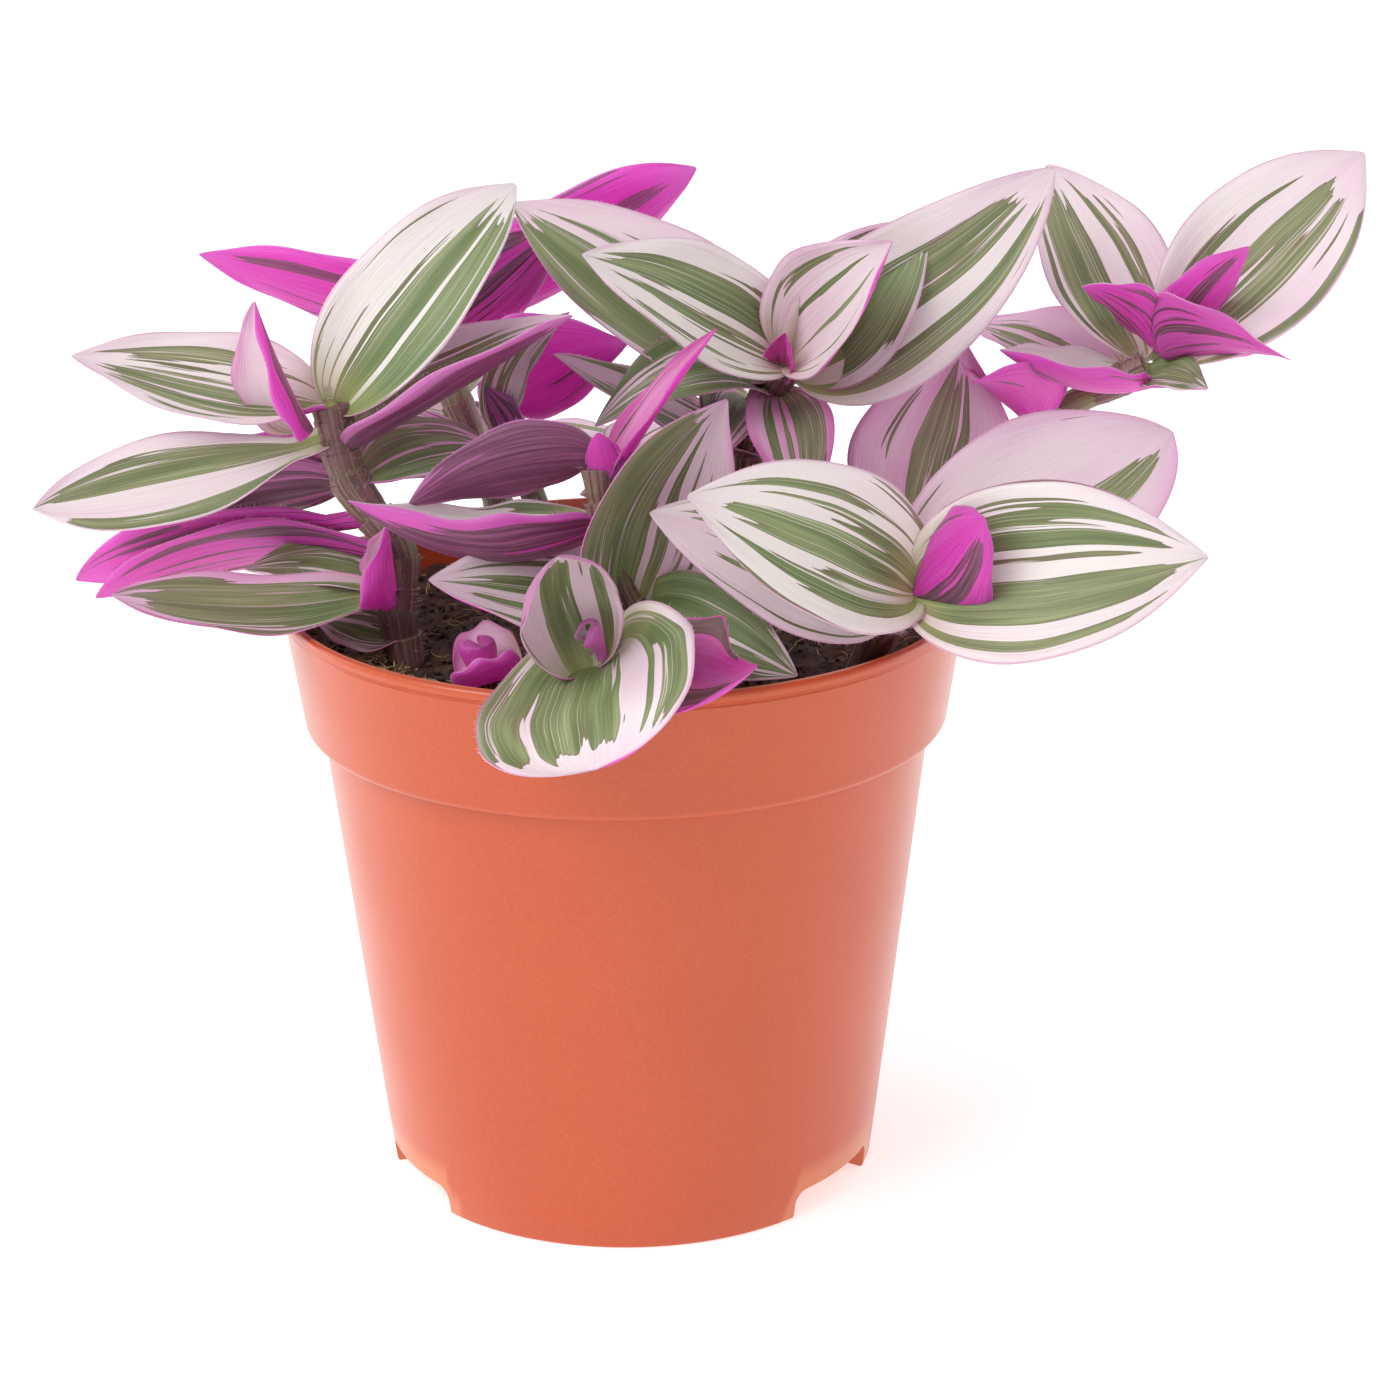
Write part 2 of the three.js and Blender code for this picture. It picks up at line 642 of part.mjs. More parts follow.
    leaves: [
      { base: [-4, 53, 112], tip: [-38, 82, 110], width: 24, face: [0, 0.3, 0.95], bow: 0.12, cup: 25 },
      { base: [-4, 53, 112], tip: [26, 90, 112], width: 25, face: [0, 0.3, 0.95], bow: 0.12, cup: 25 },
    ],
  },
];

// ---------------------------------------------------------------- the soil

/** Height of the soil's surface over a point, from a few crossed waves. */
function soilHeight(x, y) {
  const lump = ([height, kx, ky, phase]) => height * Math.sin(kx * x + ky * y + phase);
  return soil.level + soil.lumps.reduce((sum, wave) => sum + lump(wave), 0);
}

/** A block whose top is the soil's surface. */
function soilBlock() {
  const { rings, segments } = soil;
  const reach = 1.1 * pot.rimRadius;
  const points = [];
  for (let i = 0; i < rings; i++) {
    for (let k = 0; k < segments; k++) {
      const angle = (2 * Math.PI * k) / segments;
      const r = (reach * (i + 1)) / rings;
      const [x, y] = [r * Math.cos(angle), r * Math.sin(angle)];
      points.push([x, y, soilHeight(x, y)]);
    }
  }
  const outer = (rings - 1) * segments;
  for (let k = 0; k < segments; k++) points.push([points[outer + k][0], points[outer + k][1], soil.floor]);
  const top = points.push([0, 0, soilHeight(0, 0)]) - 1;
  const bottom = points.push([0, 0, soil.floor]) - 1;
  const faces = [];
  for (let k = 0; k < segments; k++) {
    const next = (k + 1) % segments;
    faces.push(top, k, next, bottom, rings * segments + next, rings * segments + k);
    for (let i = 0; i < rings; i++) {
      const [a, b] = [i * segments + k, i * segments + next];
      faces.push(a, a + segments, b + segments, a, b + segments, b);
    }
  }
  const geometry = new THREE.BufferGeometry();
  geometry.setAttribute('position', new THREE.Float32BufferAttribute(points.flat(), 3));
  geometry.setIndex(faces);
  return solidOf(geometry);
}

function makeSoil() {
  const plug = potBody(pot.wall + soil.gap, pot.height).intersect(soilBlock());
  const holed = shoots.reduce(
    (body, { stem, radius }) => body.subtract(solidOf(stemGeometry(stem, radius, soil.gap))),
    plug,
  );
  return mainBody(holed.simplify(soil.tolerance));
}

// ---------------------------------------------------------------- the whole plant

const plant = new THREE.Group();
plant.add(meshOf('pot', makePot(), '#dc6b48', 0.42));
plant.add(meshOf('soil', makeSoil(), '#3b2a20', 0.95));
for (const shoot of shoots) plant.add(meshOf(shoot.name, makeShoot(shoot), shoot.color, 0.5));

const box = new THREE.Box3().setFromObject(plant, true);
const centre = box.getCenter(new THREE.Vector3());
plant.position.set(-centre.x, -centre.y, -box.min.z);
plant.updateMatrixWorld(true);

export default plant;
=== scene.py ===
"""A potted tradescantia: a smooth moulded pot, a bed of peat and ten leafy shoots with striped leaves.

Sizes are in millimetres about the pot's axis, with the front of the plant towards -Y; MM turns them
into metres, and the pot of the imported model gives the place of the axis.
"""
import logging
import math
import random
from collections.abc import Callable
from dataclasses import dataclass, field
from enum import Enum

import bpy
import numpy as np
from mathutils import Matrix, Quaternion, Vector, noise


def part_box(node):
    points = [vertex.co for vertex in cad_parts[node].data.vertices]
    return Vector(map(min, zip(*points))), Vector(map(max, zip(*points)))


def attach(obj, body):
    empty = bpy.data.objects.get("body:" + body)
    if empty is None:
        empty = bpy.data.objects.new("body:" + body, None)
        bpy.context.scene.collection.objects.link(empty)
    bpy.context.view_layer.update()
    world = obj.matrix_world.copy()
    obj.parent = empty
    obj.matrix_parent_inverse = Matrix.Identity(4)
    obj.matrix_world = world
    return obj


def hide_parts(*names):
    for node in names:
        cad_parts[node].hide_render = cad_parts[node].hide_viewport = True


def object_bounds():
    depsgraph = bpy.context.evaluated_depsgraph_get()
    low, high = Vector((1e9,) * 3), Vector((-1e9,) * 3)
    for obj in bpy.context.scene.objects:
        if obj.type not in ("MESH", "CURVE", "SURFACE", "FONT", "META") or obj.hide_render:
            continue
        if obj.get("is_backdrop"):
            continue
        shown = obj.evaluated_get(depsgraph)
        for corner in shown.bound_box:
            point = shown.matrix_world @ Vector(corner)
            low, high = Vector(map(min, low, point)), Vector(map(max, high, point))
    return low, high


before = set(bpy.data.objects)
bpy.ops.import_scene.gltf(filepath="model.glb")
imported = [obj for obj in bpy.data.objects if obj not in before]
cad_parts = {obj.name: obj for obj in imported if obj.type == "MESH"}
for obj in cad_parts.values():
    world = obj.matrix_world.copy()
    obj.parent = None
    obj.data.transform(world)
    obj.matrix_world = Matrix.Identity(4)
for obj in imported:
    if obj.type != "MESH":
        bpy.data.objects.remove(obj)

log = logging.getLogger("tradescantia")

MM = 0.001
BODY = "root"
SEED = "piece_seed"  # the attribute with four random numbers for each small copy
SKIN = "skin"  # the attribute of stems and sheaths: the way round, in two numbers, and the share along
Point = tuple[float, float, float]
Outline = list[tuple[float, float]]
Colour = tuple[float, float, float, float]
Box = list[list[float]]
Rows = np.ndarray
Piece = bpy.types.Object
Material = bpy.types.Material
Socket = bpy.types.NodeSocket
Inputs = dict[str | int, object]


class Slot(Enum):
    """Names of the material slots."""

    POT = "pot_plastic"
    SOIL = "potting_soil"
    FOLIAGE = "foliage"


# ---------------------------------------------------------------- small helpers


def srgb(*screen: int) -> Colour:
    """A linear colour with full alpha, from the three values of 0 to 255 that a screen shows."""
    shares = (value / 255 for value in screen)
    return *(s / 12.92 if s <= 0.04045 else ((s + 0.055) / 1.055) ** 2.4 for s in shares), 1.0


def unit(vector: Rows) -> Rows:
    """A vector at length 1."""
    return vector / np.linalg.norm(vector)


def arc(centre: tuple[float, float], radius: float, start: float, end: float, steps: int) -> Outline:
    """Points of an arc, both ends included, between two angles in degrees."""
    angles = (math.radians(start + (end - start) * i / steps) for i in range(steps + 1))
    return [(centre[0] + radius * math.cos(a), centre[1] + radius * math.sin(a)) for a in angles]


def only(obj: Piece) -> None:
    """Makes one object the active and only selected one.

    Args:
        obj: the object.
    """
    bpy.ops.object.select_all(action="DESELECT")
    obj.select_set(True)
    bpy.context.view_layer.objects.active = obj


def primitive(operator: Callable[..., set[str]], **settings: object) -> Piece:
    """Adds one of Blender's basic meshes, with its place, turn and scale put into the mesh.

    Args:
        operator: the operator that adds it.
        settings: the operator's sizes and place.

    Returns:
        The mesh's object.
    """
    bpy.ops.object.select_all(action="DESELECT")
    operator(**settings)
    bpy.ops.object.transform_apply(location=True, rotation=True, scale=True)
    return bpy.context.object


def finish_modifier(obj: Piece, kind: str, **settings: object) -> None:
    """Adds a modifier with its settings and applies it.

    Args:
        obj: the piece.
        kind: Blender's name of the modifier.
        settings: its properties.
    """
    only(obj)
    modifier = obj.modifiers.new(kind.title(), kind)
    for name, value in settings.items():
        setattr(modifier, name, value)
    bpy.ops.object.modifier_apply(modifier=modifier.name)


def points_of(obj: Piece) -> Rows:
    """The vertices of a mesh as rows of x, y and z."""
    places = np.empty(len(obj.data.vertices) * 3)
    obj.data.vertices.foreach_get("co", places)
    return places.reshape(-1, 3)


def set_points(obj: Piece, places: Rows) -> None:
    """Writes the vertices of a mesh from rows of x, y and z."""
    obj.data.vertices.foreach_set("co", np.ascontiguousarray(places, dtype=np.float32).ravel())
    obj.data.update()


def paint(obj: Piece, name: str, values: Rows | list[float]) -> None:
    """Stores four numbers a vertex as a named colour attribute.

    Args:
        obj: the piece.
        name: the attribute's name.
        values: one row of four numbers, or one row for each vertex.
    """
    attribute = obj.data.color_attributes.new(name, "FLOAT_COLOR", "POINT")
    rows = np.broadcast_to(np.asarray(values, dtype=np.float32), (len(obj.data.vertices), 4))
    attribute.data.foreach_set("color", np.ascontiguousarray(rows).ravel())


def copy_of(blank: Piece, name: str) -> Piece:
    """A copy of a blank with its own mesh.

    Args:
        blank: the shape that is modelled once.
        name: the copy's name.

    Returns:
        The copy, linked to the scene.
    """
    twin = blank.copy()
    twin.data = blank.data.copy()
    twin.name = name
    bpy.context.scene.collection.objects.link(twin)
    return twin


def joined(parts: list[Piece], name: str) -> Piece:
    """Several meshes as one piece.

    Args:
        parts: the meshes.
        name: the piece's name.

    Returns:
        The first mesh, which now holds them all.
    """
    only(parts[0])
    for part in parts:
        part.select_set(True)
    if len(parts) > 1:
        bpy.ops.object.join()
    parts[0].name = parts[0].data.name = name
    return parts[0]


def placed(place: Vector, turn: Matrix | Quaternion, size: Point) -> Matrix:
    """Where a small copy stands: its place and its own three sizes in millimetres, and its turn."""
    return Matrix.LocRotScale(place * MM, turn, Vector(size) * MM)


def scattered(blank: Piece, places: list[Matrix], name: str) -> Piece:
    """One piece with a copy of a small blank at each place.

    Args:
        blank: the small shape, a few dozen faces at most.
        places: where each copy stands, with its turn and scale.
        name: the piece's name.

    Returns:
        The piece.
    """
    corners = np.c_[points_of(blank), np.ones(len(blank.data.vertices))]
    faces = [tuple(face.vertices) for face in blank.data.polygons]
    every = np.concatenate([corners @ np.array(place).T[:, :3] for place in places])
    count = len(corners)
    all_faces = [tuple(i + k * count for i in face) for k in range(len(places)) for face in faces]
    mesh = bpy.data.meshes.new(name)
    mesh.from_pydata(every.tolist(), [], all_faces)
    piece = bpy.data.objects.new(name, mesh)
    bpy.context.scene.collection.objects.link(piece)
    random_rows = np.random.default_rng(len(places)).random((len(places), 4))
    paint(piece, SEED, np.repeat(random_rows, count, axis=0))
    return piece


def cut_lengthwise(tube: Piece, cuts: int) -> None:
    """Cuts the long edges of an upright cylinder into even steps.

    Args:
        tube: the cylinder.
        cuts: the number of cuts.
    """
    only(tube)
    bpy.ops.object.mode_set(mode="EDIT")
    bpy.ops.mesh.select_mode(type="EDGE")
    bpy.ops.mesh.select_all(action="DESELECT")
    bpy.ops.object.mode_set(mode="OBJECT")
    places = tube.data.vertices
    for edge in tube.data.edges:
        a, b = edge.vertices
        edge.select = abs(places[a].co.z - places[b].co.z) > 1e-6
    bpy.ops.object.mode_set(mode="EDIT")
    bpy.ops.mesh.subdivide(number_cuts=cuts)
    bpy.ops.object.mode_set(mode="OBJECT")


def smooth(piece: Piece, degrees: float) -> None:
    """Smooths a piece's faces, but for edges that turn by more than an angle."""
    only(piece)
    bpy.ops.object.shade_smooth_by_angle(angle=math.radians(degrees))


def dress(piece: Piece, axis: Vector, *finishes: Material) -> None:
    """Moves a piece from the pot's axis to its place and gives it its finishes, slot by slot.

    Args:
        piece: the mesh, about the pot's axis.
        axis: the place of the pot's axis.
        finishes: its materials.
    """
    piece.data.transform(Matrix.Translation(axis))
    piece.data.materials.clear()
    for finish in finishes:
        piece.data.materials.append(finish)


def hand_over(piece: Piece, slot: Slot, *nodes: str) -> None:
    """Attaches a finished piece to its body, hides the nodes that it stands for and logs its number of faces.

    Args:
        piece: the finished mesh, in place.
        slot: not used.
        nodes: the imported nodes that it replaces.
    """
    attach(piece, BODY)
    if nodes:
        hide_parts(*nodes)
    log.info("%s: %d faces", piece.name, len(piece.data.polygons))


# ---------------------------------------------------------------- node trees


class Wiring:
    """Adds nodes to one tree and joins them."""

    def __init__(self, tree: bpy.types.NodeTree) -> None:
        """Takes the tree that the nodes go into."""
        self.tree = tree

    def fill(self, made: bpy.types.Node, inputs: Inputs) -> None:
        """Joins a node's inputs to sockets, or sets their values.

        Args:
            made: the node.
            inputs: sockets or values by the input's name or number.
        """
        for key, value in inputs.items():
            if isinstance(value, Socket):
                self.tree.links.new(value, made.inputs[key])
            else:
                made.inputs[key].default_value = value

    def node(self, kind: str, inputs: Inputs | None = None, **settings: object) -> bpy.types.Node:
        """Adds a node.

        Args:
            kind: the node's type, without the words ShaderNode.
            inputs: sockets or values by the input's name or number.
            settings: the node's own properties.

        Returns:
            The new node.
        """
        made = self.tree.nodes.new("ShaderNode" + kind)
        for name, value in settings.items():
            setattr(made, name, value)
        self.fill(made, inputs or {})
        return made

    def math(self, operation: str, *values: object, clamp: bool = False) -> Socket:
        """The result of a Math node, which can be kept from 0 to 1."""
        inputs = dict(enumerate(values))
        return self.node("Math", inputs, operation=operation, use_clamp=clamp).outputs[0]

    def total(self, first: object, *others: object) -> Socket:
        """The sum of several sockets or numbers.

        Args:
            first: the first of them.
            others: the rest.

        Returns:
            The sum.
        """
        for value in others:
            first = self.math("ADD", first, value)
        return first

    def times(self, first: object, second: object) -> Socket:
        """The product of two sockets or numbers."""
        return self.math("MULTIPLY", first, second)

    def less(self, first: object, second: object) -> Socket:
        """The first socket or number less the second."""
        return self.math("SUBTRACT", first, second)

    def step(self, value: object, low: object, high: object, start: float = 0.0, end: float = 1.0) -> Socket:
        """A smooth step from start to end as a value goes from low to high."""
        inputs = {"Value": value, "From Min": low, "From Max": high, "To Min": start, "To Max": end}
        return self.node("MapRange", inputs, interpolation_type="SMOOTHSTEP").outputs[0]

    def vector(self, x: object, y: object, z: object) -> Socket:
        """A vector from three sockets or numbers."""
        return self.node("CombineXYZ", {0: x, 1: y, 2: z}).outputs[0]

    def split(self, vector: object) -> tuple[Socket, ...]:
        """The three numbers of a vector."""
        return tuple(self.node("SeparateXYZ", {0: vector}).outputs)

    def noise(self, vector: object, scale: object, detail: float) -> Socket:
        """The value of a Noise texture at a vector."""
        return self.node("TexNoise", {"Vector": vector, "Scale": scale, "Detail": detail}).outputs[0]

    def mix(self, share: object, first: object, second: object) -> Socket:
        """A colour between two others."""
        return self.node("Mix", {0: share, 6: first, 7: second}, data_type="RGBA").outputs[2]

    def attribute(self, name: str, output: str) -> Socket:
        """One output of a vertex attribute: its Vector, its Alpha or its brightness, Fac."""
        return self.node("Attribute", attribute_name=name).outputs[output]

    def ramp(self, value: object, colours: tuple[Colour, ...]) -> Socket:
        """The colour at a value from 0 to 1, between evenly spaced colours.

        Args:
            value: the socket that is looked up.
            colours: the colours, in order.

        Returns:
            The colour's socket.
        """
        made = self.node("ValToRGB", {0: value})
        elements = made.color_ramp.elements
        while len(elements) < len(colours):
            elements.new(0.5)
        for i, (element, colour) in enumerate(zip(elements, colours)):
            element.position = i / (len(colours) - 1)
            element.color = colour
        return made.outputs[0]

    def bump(self, height: object, strength: float, distance: float) -> Socket:
        """A normal that is tilted by a height map."""
        return self.node("Bump", {"Height": height, "Strength": strength, "Distance": distance}).outputs[0]

    def lengthwise(self, round_scale: float, along_scale: float) -> tuple[Socket, Socket]:
        """Lines along a stem or a sheath, read from its skin attribute.

        Args:
            round_scale: how fast they change on the way round.
            along_scale: how fast they change along it.

        Returns:
            The lines' noise and the share of the length.
        """
        x, y, along = self.split(self.attribute(SKIN, "Vector"))
        around = (self.times(x, round_scale), self.times(y, round_scale))
        return self.noise(self.vector(*around, self.times(along, along_scale)), 1.0, 2.0), along


class SharedGroup:
    """An effect that several finishes share: a node group, built once and placed in each material."""

    NAME: str
    INPUTS: dict[str, str]
    OUTPUTS: tuple[str, ...]
    group: bpy.types.NodeTree | None = None

    @classmethod
    def draw(cls, wire: Wiring, *given: Socket) -> Inputs:
        """The group's outputs by name, from the sockets of its inputs."""
        raise NotImplementedError

    @classmethod
    def build(cls) -> bpy.types.NodeTree:
        """Builds the group with its named sockets.

        Returns:
            The group.
        """
        group = bpy.data.node_groups.new(cls.NAME, "ShaderNodeTree")
        sockets = [("INPUT", *socket) for socket in cls.INPUTS.items()]
        sockets += [("OUTPUT", name, "Float") for name in cls.OUTPUTS]
        for direction, name, kind in sockets:
            group.interface.new_socket(name, in_out=direction, socket_type="NodeSocket" + kind)
        wire = Wiring(group)
        given = group.nodes.new("NodeGroupInput").outputs
        drawn = cls.draw(wire, *(given[name] for name in cls.INPUTS))
        wire.fill(group.nodes.new("NodeGroupOutput"), drawn)
        return group

    @classmethod
    def place(cls, wire: Wiring, *values: object) -> dict[str, Socket]:
        """Puts the group into a material with its own values.

        Args:
            wire: the material's wiring.
            values: sockets or numbers for the group's inputs, in order.

        Returns:
            The group's outputs by name.
        """
        if cls.group is None:
            cls.group = cls.build()
        made = wire.node("Group", dict(enumerate(values)), node_tree=cls.group)
        return {name: made.outputs[name] for name in cls.OUTPUTS}


class Grain(SharedGroup):
    """The fine grain of moulded or grown surfaces: a slow mottle, a fine speck and a height."""

    NAME = "surface_grain"
    INPUTS = {"Place": "Vector", "Coarse": "Float", "Fine": "Float"}
    OUTPUTS = ("Mottle", "Speck", "Height")

    @classmethod
    def draw(cls, wire: Wiring, *given: Socket) -> Inputs:
        """Draws the grain from a place in space and two scales.

        Args:
            wire: the group's wiring.
            given: the sockets of its inputs.

        Returns:
            The group's outputs by name.
        """
        place, coarse, fine = given
        slow, fast = wire.noise(place, coarse, 3.0), wire.noise(place, fine, 1.0)
        return {
            "Mottle": wire.step(slow, 0.3, 0.7),
            "Speck": wire.step(fast, 0.35, 0.75),
            "Height": wire.total(wire.times(slow, 0.4), fast),
        }

    @classmethod
    def on_piece(cls, wire: Wiring, coarse: float, fine: float) -> list[Socket]:
        """Mottle, speck and height on Object coordinates, at two scales."""
        return list(cls.place(wire, wire.node("TexCoord").outputs["Object"], coarse, fine).values())


# ---------------------------------------------------------------- finishes


class Finish:
    """A finish: a material with one Principled shader, whose inputs each kind of finish works out."""

    NAME: str

    def inputs(self, wire: Wiring) -> Inputs:
        """The shader's inputs, as sockets or values by name."""
        raise NotImplementedError

    def build(self) -> Material:
        """Builds the material.

        Returns:
            The material.
        """
        material = bpy.data.materials.new(self.NAME)
        material.use_nodes = True
        wire = Wiring(material.node_tree)
        wire.fill(material.node_tree.nodes["Principled BSDF"], self.inputs(wire))
        return material


@dataclass(frozen=True)
class PotPlastic(Finish):
    """Satin terracotta-coloured moulded plastic, deeper in the grain, with pale flecks and a painted
    highlight on its rounded edges.
    """

    NAME = "terracotta_plastic"
    base: Colour = srgb(199, 76, 20)
    deep: Colour = srgb(191, 68, 15)
    # pale colour of the fine flecks, and of the painted highlight on the rounded edges
    fleck_and_highlight: Colour = srgb(230, 146, 100)
    roughness: float = 0.30
    shine: float = 0.45
    shine_roughness: float = 0.22

    def inputs(self, wire: Wiring) -> Inputs:
        """The shader's inputs.

        Args:
            wire: the material's wiring.

        Returns:
            Sockets or values by name.
        """
        mottle, speck, height = Grain.on_piece(wire, 38.0, 1900.0)
        colour = wire.mix(wire.times(mottle, 0.35), self.base, self.deep)
        colour = wire.mix(wire.times(speck, 0.08), colour, self.fleck_and_highlight)
        # painted highlight: the convex rounded edges of lip, collar and feet, found by pointiness, are
        # lightened towards the pale colour
        edge_highlight = wire.step(wire.node("NewGeometry").outputs["Pointiness"], 0.52, 0.60)
        return {
            "Base Color": wire.mix(wire.times(edge_highlight, 0.5), colour, self.fleck_and_highlight),
            "Roughness": wire.total(self.roughness, wire.times(mottle, 0.06), wire.times(speck, 0.05)),
            "Normal": wire.bump(height, 0.12, 0.00012),
            "IOR": 1.5,
            "Coat Weight": self.shine,
            "Coat Roughness": self.shine_roughness,
        }


@dataclass(frozen=True)
class Peat(Finish):
    """Damp dark peat with browner crumbs."""

    NAME = "peat"
    dark: Colour = srgb(38, 26, 20)
    brown: Colour = srgb(92, 66, 48)
    dry: Colour = srgb(140, 108, 80)

    def inputs(self, wire: Wiring) -> Inputs:
        """The shader's inputs.

        Args:
            wire: the material's wiring.

        Returns:
            Sockets or values by name.
        """
        mottle, speck, height = Grain.on_piece(wire, 260.0, 1500.0)
        colour = wire.mix(wire.times(mottle, 0.8), self.dark, self.brown)
        crumb = wire.times(speck, wire.attribute(SEED, "Fac"))
        return {
            "Base Color": wire.mix(wire.times(crumb, 0.6), colour, self.dry),
            "Roughness": wire.total(0.78, wire.times(speck, 0.2)),
            "Normal": wire.bump(height, 0.7, 0.0006),
        }


@dataclass(frozen=True)
class Fibre(Finish):
    """Dry straw-coloured root fibres and bits of husk."""

    NAME = "dry_fibre"
    pale: Colour = srgb(222, 192, 138)
    dark: Colour = srgb(120, 84, 54)

    def inputs(self, wire: Wiring) -> Inputs:
        """The shader's inputs.

        Args:
            wire: the material's wiring.

        Returns:
            Sockets or values by name.
        """
        mottle, speck, _ = Grain.on_piece(wire, 400.0, 2600.0)
        share = wire.total(wire.times(mottle, 0.4), wire.times(wire.attribute(SEED, "Fac"), 0.7))
        return {
            "Base Color": wire.mix(share, self.pale, self.dark),
            "Roughness": wire.total(0.7, wire.times(speck, 0.2)),
        }


@dataclass(frozen=True)
class StemSkin(Finish):
    """Juicy stem skin: olive to purple-brown, with lengthwise lines, greener and paler towards its top."""

    NAME = "stem_skin"
    olive: Colour = srgb(128, 116, 84)
    purple: Colour = srgb(100, 68, 74)
    line: Colour = srgb(170, 128, 140)
    young: Colour = srgb(176, 182, 106)
    glow: float = 0.12
    glow_depth: Point = (0.003, 0.002, 0.001)

    def inputs(self, wire: Wiring) -> Inputs:
        """The shader's inputs.

        Args:
            wire: the material's wiring.

        Returns:
            Sockets or values by name.
        """
        lines, along = wire.lengthwise(4.0, 2.0)
        mottle, speck, height = Grain.on_piece(wire, 240.0, 2400.0)
        greener = wire.times(wire.step(along, 0.1, 1.0), -0.45)
        browner = wire.total(greener, wire.step(lines, 0.35, 0.6), wire.times(mottle, 0.5))
        colour = wire.mix(wire.math("ADD", browner, 0.15, clamp=True), self.olive, self.purple)
        colour = wire.mix(wire.times(wire.step(lines, 0.56, 0.7), 0.4), colour, self.line)
        ridges = wire.total(wire.times(lines, 1.5), wire.times(height, 0.3))
        return {
            "Base Color": wire.mix(wire.times(wire.step(along, 0.72, 1.0), 0.65), colour, self.young),
            "Roughness": wire.total(0.34, wire.times(speck, 0.2)),
            "Normal": wire.bump(ridges, 0.5, 0.0005),
            "Subsurface Weight": self.glow,
            "Subsurface Radius": self.glow_depth,
        }


@dataclass(frozen=True)
class Sheath(Finish):
    """The papery sleeve round the stem under each leaf, streaked pink and brown."""

    NAME = "leaf_sheath"
    pale: Colour = srgb(146, 120, 100)
    brown: Colour = srgb(96, 70, 64)
    pink: Colour = srgb(142, 90, 106)
    glow: float = 0.1
    glow_depth: Point = (0.002, 0.001, 0.001)

    def inputs(self, wire: Wiring) -> Inputs:
        """The shader's inputs.

        Args:
            wire: the material's wiring.

        Returns:
            Sockets or values by name.
        """
        lines, _ = wire.lengthwise(5.0, 1.5)
        mottle, speck, _ = Grain.on_piece(wire, 300.0, 2600.0)
        colour = wire.mix(wire.step(lines, 0.42, 0.58), self.brown, self.pale)
        return {
            "Base Color": wire.mix(wire.times(mottle, 0.5), colour, self.pink),
            "Roughness": wire.total(0.4, wire.times(speck, 0.2)),
            "Normal": wire.bump(lines, 0.5, 0.0004),
            "Subsurface Weight": self.glow,
            "Subsurface Radius": self.glow_depth,
        }


@dataclass(frozen=True)
class Down(Finish):
    """The fine pale hairs of margins and sheaths."""

    NAME = "fine_hair"
    tip: Colour = srgb(248, 238, 240)
    root: Colour = srgb(226, 178, 206)
    roughness: float = 0.5

    def inputs(self, wire: Wiring) -> Inputs:
        """The shader's inputs."""
        colour = wire.mix(wire.attribute(SEED, "Fac"), self.root, self.tip)
        return {"Base Color": colour, "Roughness": self.roughness}


